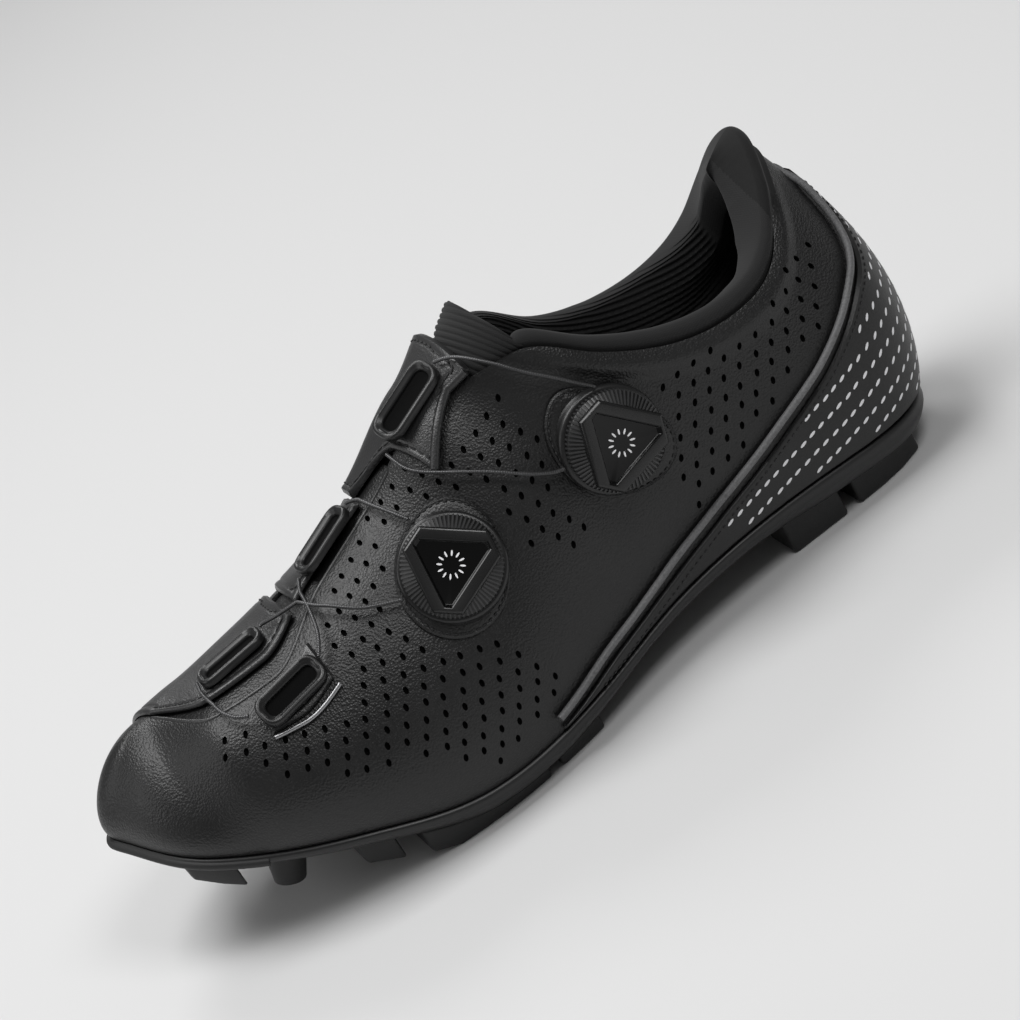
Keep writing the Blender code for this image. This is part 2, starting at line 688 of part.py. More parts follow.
def make_collar_pad():
    under = -(UPPER_WALL + LAYER_GAP)
    half = [COLLAR_START] + [row for row in ROWS if COLLAR_START + 0.1 < row < HEEL_ROW]
    places = half + [float(HEEL_ROW)] + [RING - row for row in reversed(half)]
    shares = [1 - 3 / RIB_STEPS, 1 - 2 / RIB_STEPS, 1 - 1 / RIB_STEPS]
    grid = []
    for place in places:
        column = [SKIN.ring_point(place, share, under) for share in shares]
        column.append(SKIN.ring_point(place, 1.0, under) + SKIN.rise(place) * COLLAR_ROLL)
        grid.append(column)
    return give_wall(sheet("collar_pad", grid, LINING), COLLAR_PADDING, outward=False)


def smooth_route(knots, count):
    """Points of a smooth curve through knots of the same length."""
    places = np.linspace(0, len(knots) - 1, count)
    found = []
    for place in places:
        i = min(int(place), len(knots) - 2)
        t = place - i
        before, start = knots[max(i - 1, 0)], knots[i]
        stop, after = knots[i + 1], knots[min(i + 2, len(knots) - 1)]
        knot = []
        for p0, p1, p2, p3 in zip(before, start, stop, after):
            bend = (2 * p0 - 5 * p1 + 4 * p2 - p3) * t * t + (3 * p1 - 3 * p2 + p3 - p0) * t ** 3
            knot.append(0.5 * (2 * p1 + (p2 - p0) * t + bend))
        found.append(tuple(knot))
    return found


def tube(name, points, radius, finish, group=None, resolution=1):
    curve = bpy.data.curves.new(name, "CURVE")
    curve.dimensions = "3D"
    curve.bevel_depth = radius
    curve.bevel_resolution = resolution
    curve.use_fill_caps = True
    spline = curve.splines.new("POLY")
    spline.points.add(len(points) - 1)
    for knot, point in zip(spline.points, points):
        knot.co = (*point, 1.0)
    curve.materials.append(finish)
    piece = bpy.data.objects.new(name, curve)
    (group or SHOE).objects.link(piece)
    return piece


def as_mesh(piece, group=None):
    """A curve's own mesh with its caps welded on."""
    bpy.context.view_layer.update()
    graph = bpy.context.evaluated_depsgraph_get()
    mesh = bpy.data.meshes.new_from_object(piece.evaluated_get(graph))
    bm = bmesh.new()
    bm.from_mesh(mesh)
    bmesh.ops.remove_doubles(bm, verts=bm.verts, dist=1e-5)
    bm.to_mesh(mesh)
    bm.free()
    solid = bpy.data.objects.new(piece.name, mesh)
    solid.matrix_world = piece.matrix_world
    name = piece.name
    bpy.data.objects.remove(piece)
    solid.name = name
    (group or SHOE).objects.link(solid)
    return solid


def subtract(piece, cutter):
    cut = piece.modifiers.new("cut", "BOOLEAN")
    cut.operation = "DIFFERENCE"
    cut.object = cutter
    cutter.hide_render = True
    cutter.display_type = "WIRE"


def rounded_box_outline(length, width, radius, steps=3):
    points = []
    for corner, (sx, sy) in enumerate(((1, 1), (-1, 1), (-1, -1), (1, -1))):
        for k in range(steps + 1):
            angle = math.radians(90 * corner + 90 * k / steps)
            points.append((sx * (length / 2 - radius) + radius * math.cos(angle),
                           sy * (width / 2 - radius) + radius * math.sin(angle)))
    return points


def make_guide(guide):
    """A flat loop of plastic with a slot for the wire."""
    curve = bpy.data.curves.new(guide.name, "CURVE")
    curve.dimensions = "2D"
    curve.fill_mode = "BOTH"
    curve.extrude = GUIDE_WALL / 2
    inner_length = guide.length - 2 * GUIDE_RIM
    inner_width = guide.width - 2 * GUIDE_RIM
    for length, width in ((guide.length, guide.width), (inner_length, inner_width)):
        points = rounded_box_outline(length, width, 0.45 * width)
        spline = curve.splines.new("POLY")
        spline.points.add(len(points) - 1)
        spline.use_cyclic_u = True
        for knot, (x, y) in zip(spline.points, points):
            knot.co = (x, y, 0.0, 1.0)
    curve.materials.append(PLASTIC)
    piece = bpy.data.objects.new(guide.name, curve)
    lift = LAYER_GAP + guide.wall_below + GUIDE_GAP + GUIDE_WALL / 2
    piece.matrix_world = frame_at(guide.row, guide.across, lift, guide.turn)
    SHOE.objects.link(piece)


def turned(name, profile, finish, place, steps=28):
    """A turned solid: its profile runs from the axis out, down and back to the axis."""
    bm = bmesh.new()
    points = [bm.verts.new((radius, 0.0, height)) for radius, height in profile]
    for top, low in zip(points, points[1:]):
        bm.edges.new((top, low))
    piece = add_mesh(name, bm, finish)
    screw = piece.modifiers.new("turn", "SCREW")
    screw.steps = steps
    screw.render_steps = steps
    screw.use_merge_vertices = True
    screw.merge_threshold = 1e-5
    screw.use_smooth_shade = False
    piece.matrix_world = place
    return piece


def make_dial(dial):
    """Housing that follows the upper, with a knob and a cap stacked on it."""
    place = frame_at(dial.row, dial.across, 0.0)
    ahead = Vector(place.col[0][:3])
    side = Vector(place.col[1][:3])
    reach_row = np.linalg.norm(SKIN.flat(dial.row + 0.1, dial.across) - SKIN.flat(dial.row - 0.1, dial.across)) / 0.2
    reach_share = np.linalg.norm(
        SKIN.flat(dial.row, dial.across + 0.05) - SKIN.flat(dial.row, dial.across - 0.05)) / 0.1
    count = 24
    bm = bmesh.new()

    def on_skin(radius, lift):
        ring = []
        for k in range(count):
            angle = 2 * math.pi * k / count
            row = dial.row + radius * math.cos(angle) / reach_row
            share = dial.across + radius * math.sin(angle) / reach_share
            ring.append(bm.verts.new(SKIN.point(row, share, lift)))
        return ring

    def level(radius, height):
        ring = []
        for k in range(count):
            angle = 2 * math.pi * k / count
            spot = ahead * radius * math.cos(angle) + side * radius * math.sin(angle)
            ring.append(bm.verts.new(place.translation + spot + Vector(place.col[2][:3]) * height))
        return ring

    middle = bm.verts.new(SKIN.point(dial.row, dial.across, LAYER_GAP))
    rings = [on_skin(DIAL_RADIUS * 0.5, LAYER_GAP), on_skin(DIAL_RADIUS * DIAL_FLANGE, LAYER_GAP),
             on_skin(DIAL_RADIUS * DIAL_FLANGE, LAYER_GAP + DIAL_FLANGE_WALL), level(DIAL_RADIUS, DIAL_BASE_HEIGHT)]
    for k in range(count):
        j = (k + 1) % count
        bm.faces.new((middle, rings[0][k], rings[0][j]))
        for low, high in zip(rings, rings[1:]):
            bm.faces.new((low[k], low[j], high[j], high[k]))
    bm.faces.new(rings[-1])
    bmesh.ops.recalc_face_normals(bm, faces=bm.faces)
    add_mesh("dial_base_" + dial.name, bm, PLASTIC)
    knob = place @ Matrix.Translation((0, 0, DIAL_BASE_HEIGHT + SEAM_GAP))
    profile = ((0, KNOB_HEIGHT), (KNOB_RADIUS - 0.0012, KNOB_HEIGHT), (KNOB_RADIUS, KNOB_HEIGHT - 0.0010),
               (KNOB_RADIUS, 0), (0, 0))
    turned("dial_knob_" + dial.name, profile, PLASTIC, knob)
    cap = knob @ Matrix.Translation((0, 0, KNOB_HEIGHT + SEAM_GAP)) @ Matrix.Rotation(math.radians(CAP_TURN), 4, "Z")
    loft_cap("dial_cap_" + dial.name, cap)


def loft_cap(name, place):
    """A three-sided cap whose corners are clipped."""
    sections = []
    for scale, height in ((1.0, 0.0), (1.0, CAP_HEIGHT * 0.6), (0.9, CAP_HEIGHT)):
        ring = []
        for corner in range(3):
            for swing in (-CAP_CLIP, CAP_CLIP):
                angle = math.radians(120 * corner + swing)
                ring.append(place @ Vector((CAP_RADIUS * scale * math.cos(angle),
                                            CAP_RADIUS * scale * math.sin(angle), height)))
        sections.append(ring)
    loft(name, sections, GLOSS)


def wire_points(route, count):
    return [SKIN.point(row, share, lift / 1000) for row, share, lift in smooth_route(route, count)]


def make_wires():
    tube("wire_rear_upper", wire_points(REAR_UPPER, 12), WIRE_RADIUS, STEEL)
    tube("wire_rear_lower", wire_points(REAR_LOWER, 14), WIRE_RADIUS, STEEL)
    tube("wire_front_upper", wire_points(FRONT_UPPER, 10), WIRE_RADIUS, STEEL)
    tube("wire_toe_turn", wire_points(TOE_TURN, 14), WIRE_RADIUS, STEEL)
    cross = as_mesh(tube("wire_cross", wire_points(DIAL_CROSS, 14), WIRE_RADIUS, STEEL))
    other = as_mesh(tube("wire_cross_tool", wire_points(GUIDE_CROSS, 9), WIRE_RADIUS, STEEL), CUTTERS)
    join = cross.modifiers.new("join", "BOOLEAN")
    join.operation = "UNION"
    join.object = other
    other.hide_render = True
    other.display_type = "WIRE"


def cleat_middle():
    return along(CLEAT_ALONG)


def make_slots(plate):
    for index, side in enumerate((-1, 1)):
        x0, y0 = cleat_middle(), side * SLOT_SPACING / 2 + CLEAT_SIDE
        ring = rounded_box_outline(SLOT_LENGTH, SLOT_WIDTH, 0.49 * SLOT_WIDTH)
        low = [(x0 + x, y0 + y, plate_floor(x0 + x) - 0.002) for x, y in ring]
        high = [(x0 + x, y0 + y, plate_floor(x0 + x) + SLOT_DEPTH) for x, y in ring]
        subtract(plate, loft(f"slot_tool_{index + 1}", (low, high), NYLON, CUTTERS))


def make_screws():
    for index, (step, side) in enumerate(((-1, -1), (-1, 1), (1, -1), (1, 1))):
        x = cleat_middle() + SCREW_SHIFT + step * SCREW_SPACING / 2
        y = CLEAT_SIDE + side * SLOT_SPACING / 2
        tilt = math.atan2(plate_floor(x + 0.002) - plate_floor(x - 0.002), 0.004)
        top = plate_floor(x) + SLOT_DEPTH - 2 * SEAM_GAP
        place = Matrix.Translation((x, y, top)) @ Matrix.Rotation(-tilt, 4, "Y")
        profile = ((0, 0), (SCREW_RADIUS, 0), (SCREW_RADIUS, -0.0016), (SCREW_RADIUS * 0.8, -0.0022), (0, -0.0022))
        turned(f"cleat_screw_{index + 1}", profile, SCREW_STEEL, place, steps=16)


def make_studs():
    for name, side in (("toe_stud_lateral", -1), ("toe_stud_medial", 1)):
        x = along(STUD_ALONG)
        y = STUD_SIDE + side * STUD_SPACING / 2
        tilt = math.atan2(plate_floor(x + 0.004) - plate_floor(x - 0.004), 0.008)
        place = Matrix.Translation((x, y, plate_floor(x) - SEAM_GAP)) @ Matrix.Rotation(-tilt, 4, "Y")
        place = place @ Matrix.Translation((0, 0, -0.0003))
        profile = ((0, 0), (STUD_RADIUS, 0), (STUD_RADIUS, -STUD_RIM), (STUD_RADIUS * 0.72, -STUD_STEP),
                   (STUD_RADIUS * STUD_TIP_SHARE, -STUD_DEPTH), (0, -STUD_DEPTH))
        turned(name, profile, RUBBER, place, steps=20)


def centre_shoe():
    """Move every piece so that the shoe's box is centred on x = y = 0."""
    bpy.context.view_layer.update()
    graph = bpy.context.evaluated_depsgraph_get()
    corners = []
    for piece in SHOE.objects:
        solid = piece.evaluated_get(graph)
        corners += [solid.matrix_world @ vertex.co for vertex in solid.to_mesh().vertices]
        solid.to_mesh_clear()
    low = np.min(corners, axis=0)
    high = np.max(corners, axis=0)
    shift = Matrix.Translation((-(low[0] + high[0]) / 2, -(low[1] + high[1]) / 2, -low[2]))
    for piece in [*SHOE.objects, *CUTTERS.objects]:
        piece.matrix_world = shift @ piece.matrix_world


make_upper()
SOLE = make_sole_plate()
make_slots(SOLE)
make_screws()
make_studs()
make_insole()
for each in LUGS:
    make_lug(each)
for each in WINGS:
    make_wing(each)
make_strap()
make_tab()
make_tongue()
make_counter()
make_piping("piping_lateral", inner_side=False)
make_piping("piping_medial", inner_side=True)
make_collar_pad()
for each in GUIDES:
    make_guide(each)
for each in DIALS:
    make_dial(each)
make_wires()
centre_shoe()
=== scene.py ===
"""Looks of the left cycling shoe: finishes, stitches, perforations, lining, dials, studio and camera.

Metres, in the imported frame: the toe points to -X, the outer side of the foot to -Y, the floor is z = 0.
"""
from __future__ import annotations

import logging
import math
from collections.abc import Callable, Iterator, Sequence
from contextlib import contextmanager
from dataclasses import dataclass, field
from enum import Enum
from itertools import product
from typing import Any, ClassVar, NamedTuple

import bmesh
import bpy
import numpy as np
from bpy.types import Material, Node, NodeSocket, NodeTree, Object
from mathutils import Matrix, Vector


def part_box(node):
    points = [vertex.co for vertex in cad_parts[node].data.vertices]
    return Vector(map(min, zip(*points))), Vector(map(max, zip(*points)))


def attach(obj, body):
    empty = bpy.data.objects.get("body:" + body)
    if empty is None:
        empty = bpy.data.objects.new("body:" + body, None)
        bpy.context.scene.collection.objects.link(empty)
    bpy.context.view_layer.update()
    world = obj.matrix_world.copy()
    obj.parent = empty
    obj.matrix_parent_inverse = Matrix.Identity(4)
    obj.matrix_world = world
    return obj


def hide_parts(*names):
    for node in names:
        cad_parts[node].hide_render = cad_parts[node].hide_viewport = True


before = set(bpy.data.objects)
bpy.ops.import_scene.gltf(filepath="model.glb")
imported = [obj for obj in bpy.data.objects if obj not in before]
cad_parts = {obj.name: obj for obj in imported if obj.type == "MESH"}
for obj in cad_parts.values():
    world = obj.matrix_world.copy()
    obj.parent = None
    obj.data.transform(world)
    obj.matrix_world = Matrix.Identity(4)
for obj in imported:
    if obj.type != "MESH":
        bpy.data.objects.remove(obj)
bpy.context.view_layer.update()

LOG = logging.getLogger("cycling_shoe")
Array = np.ndarray
Pair = tuple[float, float]
Triple = tuple[float, float, float]
Places = tuple[np.ndarray, np.ndarray]
Faces = Sequence[Sequence[int]]

# Driving sizes and walls, as in the part's source
LENGTH = 0.283
BALL_WIDTH = 0.100
INSTEP_HEIGHT = 0.107
HEEL_HEIGHT = 0.106
UPPER_WALL = 0.0018
SEAM_GAP = 0.0003
LAYER_GAP = 0.0004
COUNTER_WALL = 0.0012
WING_WALL = 0.0013
STRAP_WALL = 0.0020
TONGUE_WALL = 0.0030
GUIDE_GAP = 0.0009
GUIDE_WALL = 0.0022
PIPING_RADIUS = 0.0011
PIPING_SHARE = 0.022
PIPING_BACK = 0.12
COUNTER_FOOT = 0.015
SLOT_LENGTH = 0.030
SLOT_WIDTH = 0.0085
SLOT_SPACING = 0.0140
CLEAT_ALONG = 0.329
CLEAT_SIDE = -0.001
LUG_REAR_START = 0.402
DIAL_RADIUS = 0.0155
DIAL_BASE_HEIGHT = 0.0040
DIAL_FLANGE = 1.18
KNOB_HEIGHT = 0.0052
WIRE_RADIUS = 0.00055
RIB_RISE = 0.33
RIB_REACH = 0.33
CROWN_REACH = 0.36
LEAF_ROW = 3

MM = 0.001


class Section(NamedTuple):
    """One section of the last, as shares of the driving sizes, with the ribs' leans in degrees."""

    along: float
    outer: float
    inner: float
    seat: float
    belly_out: float
    belly_in: float
    top_along: float
    top_outer: float
    top_inner: float
    instep_out: float
    instep_in: float
    heel_out: float
    heel_in: float
    lean_out: float
    lean_in: float


LAST = (
    Section(0.000, -0.090, 0.090, 0.434, 0.030, 0.030, 0.078, -0.060, 0.060, 0.655, 0.655, 0, 0, 0, 0),
    Section(0.011, -0.005, 0.180, 0.420, 0.034, 0.034, 0.081, -0.060, 0.060, 0.655, 0.655, 0, 0, 0, 0),
    Section(0.040, 0.160, 0.290, 0.382, 0.046, 0.042, 0.089, -0.060, 0.060, 0.656, 0.656, 0, 0, 0, 0),
    Section(0.085, 0.275, 0.370, 0.330, 0.060, 0.050, 0.102, -0.060, 0.060, 0.655, 0.655, 0, 0, 0, 0),
    Section(0.148, 0.360, 0.430, 0.264, 0.078, 0.062, 0.148, 0.180, 0.090, 0.652, 0.655, 0, 0, 18, 6),
    Section(0.223, 0.420, 0.455, 0.193, 0.092, 0.080, 0.219, 0.215, 0.090, 0.654, 0.676, 0, 0, 22, 8),
    Section(0.314, 0.455, 0.440, 0.118, 0.095, 0.090, 0.307, 0.125, 0.090, 0.743, 0.722, 0, 0, 16, 14),
    Section(0.420, 0.435, 0.385, 0.108, 0.075, 0.080, 0.403, 0.080, 0.095, 0.832, 0.800, 0, 0, 18, 20),
    Section(0.516, 0.375, 0.335, 0.132, 0.055, 0.060, 0.498, 0.120, 0.105, 0.968, 0.925, 0, 0, 30, 40),
    Section(0.597, 0.335, 0.315, 0.165, 0.060, 0.060, 0.595, 0.250, 0.215, 0, 0, 1.005, 0.985, 80, 85),
    Section(0.693, 0.315, 0.310, 0.182, 0.036, 0.034, 0.684, 0.292, 0.275, 0, 0, 0.835, 0.800, 84, 84),
    Section(0.788, 0.310, 0.310, 0.179, 0.030, 0.030, 0.774, 0.295, 0.285, 0, 0, 0.722, 0.740, 90, 90),
    Section(0.866, 0.300, 0.300, 0.163, 0.040, 0.040, 0.845, 0.278, 0.275, 0, 0, 0.722, 0.774, 88, 86),
    Section(0.917, 0.245, 0.245, 0.149, 0.084, 0.084, 0.892, 0.215, 0.220, 0, 0, 0.807, 0.885, 80, 80),
    Section(0.946, 0.145, 0.145, 0.142, 0.140, 0.140, 0.920, 0.115, 0.120, 0, 0, 0.929, 0.972, 72, 72),
    Section(0.957, 0.000, 0.000, 0.140, 0.168, 0.168, 0.936, 0.000, 0.000, 0, 0, 1.000, 1.000, 68, 68),
)
HEEL_ROW = len(LAST) - 1
RING = 2 * HEEL_ROW

PLATE_DEPTH = (
    (0.000, 0.0040), (0.085, 0.0048), (0.223, 0.0060), (0.314, 0.0072), (0.420, 0.0068),
    (0.540, 0.0052), (0.700, 0.0062), (0.788, 0.0085), (0.926, 0.0085), (0.975, 0.0080),
)
COUNTER_EDGE = (
    (7.00, 0.040), (7.46, 0.070), (8.60, 0.080), (9.28, 0.110), (9.84, 0.178), (10.43, 0.264),
    (11.26, 0.417), (12.30, 0.536), (13.00, 0.564), (14.00, 0.570), (14.40, 0.630), (14.70, 0.770),
    (14.88, 0.930), (15.00, 0.940),
)


def unit(vectors: Array) -> Array:
    """The same directions with length 1."""
    return vectors / np.maximum(np.linalg.norm(vectors, axis=-1, keepdims=True), 1e-12)


def ramp(value: Any, start: float, reach: float) -> Any:
    """A share that climbs from 0 at start to 1 a reach further on."""
    return np.clip((value - start) / reach, 0, 1)


def row_of(place: Array) -> Array:
    """The table's rows of ring places."""
    return np.minimum(place, RING - place)


def run_length(points: Array) -> Array:
    """How far along a line each of its points lies."""
    return np.concatenate([[0.0], np.cumsum(np.linalg.norm(np.diff(points, axis=0), axis=1))])


def turns(count: int, shift: float = 0.0) -> Array:
    """Evenly spaced angles of one full turn."""
    return (np.arange(count) + shift) * 2 * math.pi / count


class RingCurve:
    """A closed curve through one value for each rib of the ring."""

    def __init__(self, values: Sequence[float]) -> None:
        """Keeps the values and works out the curve's shape."""
        self.values = np.asarray(values, float)
        self.shape = self.solve()

    def solve(self) -> Array:
        """One number of shape for each rib."""
        raise NotImplementedError

    def between(self, i: Array, j: Array, t: Array) -> Array:
        """Values at a share t of the way from rib i to rib j."""
        raise NotImplementedError

    def at(self, place: Array) -> Array:
        """Values at fractional ribs."""
        count = len(self.values)
        place = np.mod(place, count)
        i = np.floor(place).astype(int) % count
        return self.between(i, (i + 1) % count, place - np.floor(place))


class SmoothRing(RingCurve):
    """A cubic spline."""

    def solve(self) -> Array:
        """The spline's bends."""
        count = len(self.values)
        system = 4.0 * np.eye(count)
        for shift in (-1, 1):
            system += np.roll(np.eye(count), shift, axis=1)
        right = 6.0 * (np.roll(self.values, 1) - 2.0 * self.values + np.roll(self.values, -1))
        return np.linalg.solve(system, right)

    def between(self, i: Array, j: Array, t: Array) -> Array:
        """Values at a share t of the way from rib i to rib j."""
        line = self.values[i] * (1 - t) + self.values[j] * t
        bow = ((1 - t) ** 3 - (1 - t)) * self.shape[i] + (t ** 3 - t) * self.shape[j]
        return line + bow / 6.0


class SteadyRing(RingCurve):
    """A curve that never swings past its values."""

    def solve(self) -> Array:
        """A slope for each rib."""
        after = np.roll(self.values, -1) - self.values
        before = np.roll(after, 1)
        rising = before * after > 0
        total = np.where(rising, before + after, 1.0)
        return np.where(rising, 2 * before * after / total, 0.0)

    def between(self, i: Array, j: Array, t: Array) -> Array:
        """Values at a share t of the way from rib i to rib j."""
        start = (2 * t ** 3 - 3 * t ** 2 + 1) * self.values[i] + (t ** 3 - 2 * t ** 2 + t) * self.shape[i]
        stop = (3 * t ** 2 - 2 * t ** 3) * self.values[j] + (t ** 3 - t ** 2) * self.shape[j]
        return start + stop


class Skin:
    """The outer face of the upper, on arrays of places.

    A place is a row of the table and a share across: 0 to 1 up the outer rib, 1 to 2 over the crown,
    2 to 3 down the inner rib. A ring place is a row on the outer side and RING minus it on the inner.
    """

    STEP = 0.004
    EASE = 0.5
    EASE_FROM = 9.3

    def __init__(self, origin: Array) -> None:
        """Builds the ring curves.

        Args:
            origin: where the last's own origin lies in the frame.
        """
        self.origin = origin
        ribs = []
        for index in range(RING):
            inner_side = index > HEEL_ROW
            ribs.append(self.rib_values(LAST[RING - index if inner_side else index], inner_side))
        columns = list(zip(*ribs))
        self.foot = [SmoothRing(column) for column in columns[:3]]
        self.head = [SteadyRing(column) for column in columns[3:6]]
        self.belly = SteadyRing(columns[6])
        self.lean = SteadyRing(columns[7])

    def rib_values(self, section: Section, inner_side: bool) -> tuple[float, ...]:
        """Foot point, head point, belly and lean of one rib.

        Args:
            section: the table's row.
            inner_side: whether the rib is on the inner side.

        Returns:
            Eight values in metres and radians.
        """
        if inner_side:
            wide, top_wide, belly = section.inner, section.top_inner, section.belly_in
            high = section.instep_in * INSTEP_HEIGHT + section.heel_in * HEEL_HEIGHT
            lean = section.lean_in
        else:
            wide, top_wide, belly = -section.outer, -section.top_outer, section.belly_out
            high = section.instep_out * INSTEP_HEIGHT + section.heel_out * HEEL_HEIGHT
            lean = section.lean_out
        x, y = self.origin[0], self.origin[1]
        return (
            (section.along - 0.5) * LENGTH + x, wide * BALL_WIDTH + y, section.seat * HEEL_HEIGHT,
            (section.top_along - 0.5) * LENGTH + x, top_wide * BALL_WIDTH + y, high,
            belly * BALL_WIDTH, math.radians(lean))

    def feather(self, place: Array) -> Array:
        """Points of the feather line."""
        return np.stack([curve.at(np.asarray(place, float)) for curve in self.foot], -1)

    def outward(self, place: Array) -> Array:
        """Level ways out of the shoe on the feather line."""
        place = np.asarray(place, float)
        step = self.feather(place + 0.01) - self.feather(place - 0.01)
        return unit(np.stack([step[..., 1], -step[..., 0], np.zeros_like(place)], -1))

    def top(self, place: Array) -> Array:
        """Points of the top line of throat and collar."""
        place = np.asarray(place, float)
        row = row_of(np.mod(place, RING))
        reach = self.EASE * ramp(row, self.EASE_FROM, 1.0)
        head, other = 0.0, 0.0
        for shift in (-1.0, -0.5, 0.0, 0.5, 1.0):
            head = head + np.stack([curve.at(place + shift * reach) for curve in self.head], -1) / 5
            other = other + np.stack([curve.at(RING - place - shift * reach) for curve in self.head], -1) / 5
        shut = row <= LEAF_ROW
        return np.where(shut[..., None], (head + other) / 2, head)

    def rise(self, place: Array) -> Array:
        """Ways in which the ribs reach their tops."""
        lean = self.lean.at(np.asarray(place, float))[..., None]
        return -self.outward(place) * np.cos(lean) + np.array([0.0, 0.0, 1.0]) * np.sin(lean)

    def rib(self, place: Array, share: Array) -> Array:
        """Points on the ribs, from the feather line at 0 to the top line at 1."""
        place, share = np.broadcast_arrays(np.asarray(place, float), np.asarray(share, float))
        foot, head = self.feather(place), self.top(place)
        span = np.linalg.norm(head - foot, axis=-1, keepdims=True)
        low = foot + self.outward(place) * self.belly.at(place)[..., None]
        low[..., 2] += RIB_RISE * (head - foot)[..., 2]
        high = head - self.rise(place) * RIB_REACH * span
        return bezier(foot, low, high, head, share)

    def crown(self, row: Array, share: Array) -> Array:
        """Points of the surface that would close the throat."""
        start, stop = self.top(row), self.top(RING - row)
        reach = CROWN_REACH * np.linalg.norm(stop - start, axis=-1, keepdims=True)
        low = start + self.rise(row) * reach
        high = stop + self.rise(RING - row) * reach
        return bezier(start, low, high, stop, share)

    def flat(self, row: Array, across: Array) -> Array:
        """Points at a row and a share across, with no lift."""
        row, across = np.broadcast_arrays(np.asarray(row, float), np.asarray(across, float))
        outer = self.rib(row, np.clip(across, 0, 1))
        crown = self.crown(row, np.clip(across - 1, 0, 1))
        inner = self.rib(RING - row, np.clip(3 - across, 0, 1))
        first = (across <= 1)[..., None]
        second = (across <= 2)[..., None]
        return np.where(first, outer, np.where(second, crown, inner))

    def normal(self, row: Array, across: Array) -> Array:
        """Ways out of the surface, from short steps that stay on one stretch of it."""
        row, across = np.broadcast_arrays(np.asarray(row, float), np.asarray(across, float))
        low, high = np.floor(across), np.floor(across) + 1
        shut = (row <= LEAF_ROW) & (across >= 1) & (across <= 2)
        left = across < 1.5
        low = np.where(shut, np.where(left, 0, 2), low)
        high = np.where(shut, np.where(left, 1, 3), high)
        across = np.where(shut, np.where(left, 1, 2), across)
        before = np.maximum(across - self.STEP, low)
        after = np.minimum(across + self.STEP, high)
        side = self.flat(row, after - 1e-9) - self.flat(row, before + 1e-9)
        ahead_row = np.minimum(row + self.STEP, HEEL_ROW)
        back_row = np.maximum(row - self.STEP, 0)
        ahead = self.flat(ahead_row, across) - self.flat(back_row, across)
        return unit(np.cross(ahead, side))

    def laid(self, row: Array, across: Array) -> Places:
        """Points at rows and shares across, and the ways out there."""
        return self.flat(row, across), self.normal(row, across)

    def ring_laid(self, place: Array, share: Array) -> Places:
        """Points at ring places and shares, and the ways out there."""
        return self.rib(place, share), self.ring_normal(place, share)

    def ring_normal(self, place: Array, share: Array) -> Array:
        """Ways out of the surface at ring places."""
        place, share = np.broadcast_arrays(np.asarray(place, float), np.asarray(share, float))
        low, high = np.maximum(share - self.STEP, 0), np.minimum(share + self.STEP, 1)
        side = self.rib(place, high) - self.rib(place, low)
        ahead = self.rib(place + self.STEP, share) - self.rib(place - self.STEP, share)
        return unit(np.cross(ahead, side))

    def point(self, row: Array, across: Array, lift: Array | float = 0.0) -> Array:
        """Points lifted off the surface."""
        return self.flat(row, across) + self.normal(row, across) * np.asarray(lift)[..., None]

    def ring_point(self, place: Array, share: Array, lift: Array | float = 0.0) -> Array:
        """Points lifted off the surface, at ring places."""
        return self.rib(place, share) + self.ring_normal(place, share) * np.asarray(lift)[..., None]

    def frame_at(self, row: float, across: float, lift: float, turn: float = 0.0) -> Matrix:
        """A frame on the surface: x toward the heel, y toward the inner side, z out.

        Args:
            row: row of the table.
            across: share across.
            lift: height above the surface.
            turn: degrees about z.

        Returns:
            The frame as a matrix.
        """
        out = Vector(self.normal(row, across))
        ahead = Vector(self.flat(row + 0.02, across) - self.flat(row - 0.02, across))
        ahead = (ahead - out * ahead.dot(out)).normalized()
        matrix = Matrix((ahead, out.cross(ahead), out)).transposed().to_4x4()
        matrix.translation = Vector(self.point(row, across, lift))
        return matrix @ Matrix.Rotation(math.radians(turn), 4, "Z")


def bezier(p0: Array, p1: Array, p2: Array, p3: Array, share: Array) -> Array:
    """Points on cubic curves.

    Args:
        p0: starts.
        p1: first handles.
        p2: second handles.
        p3: stops.
        share: how far along, from 0 to 1.

    Returns:
        The points.
    """
    t = np.asarray(share, float)[..., None]
    s = 1 - t
    return s ** 3 * p0 + 3 * s * s * t * p1 + 3 * s * t * t * p2 + t ** 3 * p3


def along_shoe(share: Any) -> Any:
    """The x of a share of the shoe's length."""
    return (share - 0.5) * LENGTH + SKIN.origin[0]


def last_origin() -> Array:
    """Where the last's own origin lies in the frame, from a lug's front end and the cleat screws."""
    low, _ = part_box("forefoot_lug_rear_lateral")
    middles = [sum(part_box(f"cleat_screw_{number}"), Vector()) / 2 for number in (1, 2)]
    x = low.x - (LUG_REAR_START - 0.5) * LENGTH
    y = (middles[0].y + middles[1].y) / 2 - CLEAT_SIDE
    return np.array([x, y, 0.0])


SKIN = Skin(last_origin())


def smooth_route(knots: Sequence[Sequence[float]], count: int) -> Array:
    """Points of a smooth curve through knots.

    Args:
        knots: given points of any one length.
        count: how many points to give.

    Returns:
        The points, one to a row.
    """
    found = []
    for place in np.linspace(0, len(knots) - 1, count):
        i = min(int(place), len(knots) - 2)
        t = place - i
        p0, p1 = np.array(knots[max(i - 1, 0)]), np.array(knots[i])
        p2, p3 = np.array(knots[i + 1]), np.array(knots[min(i + 2, len(knots) - 1)])
        bend = (2 * p0 - 5 * p1 + 4 * p2 - p3) * t * t + (3 * p1 - 3 * p2 + p3 - p0) * t ** 3
        found.append(0.5 * (2 * p1 + (p2 - p0) * t + bend))
    return np.array(found)


# Nodes


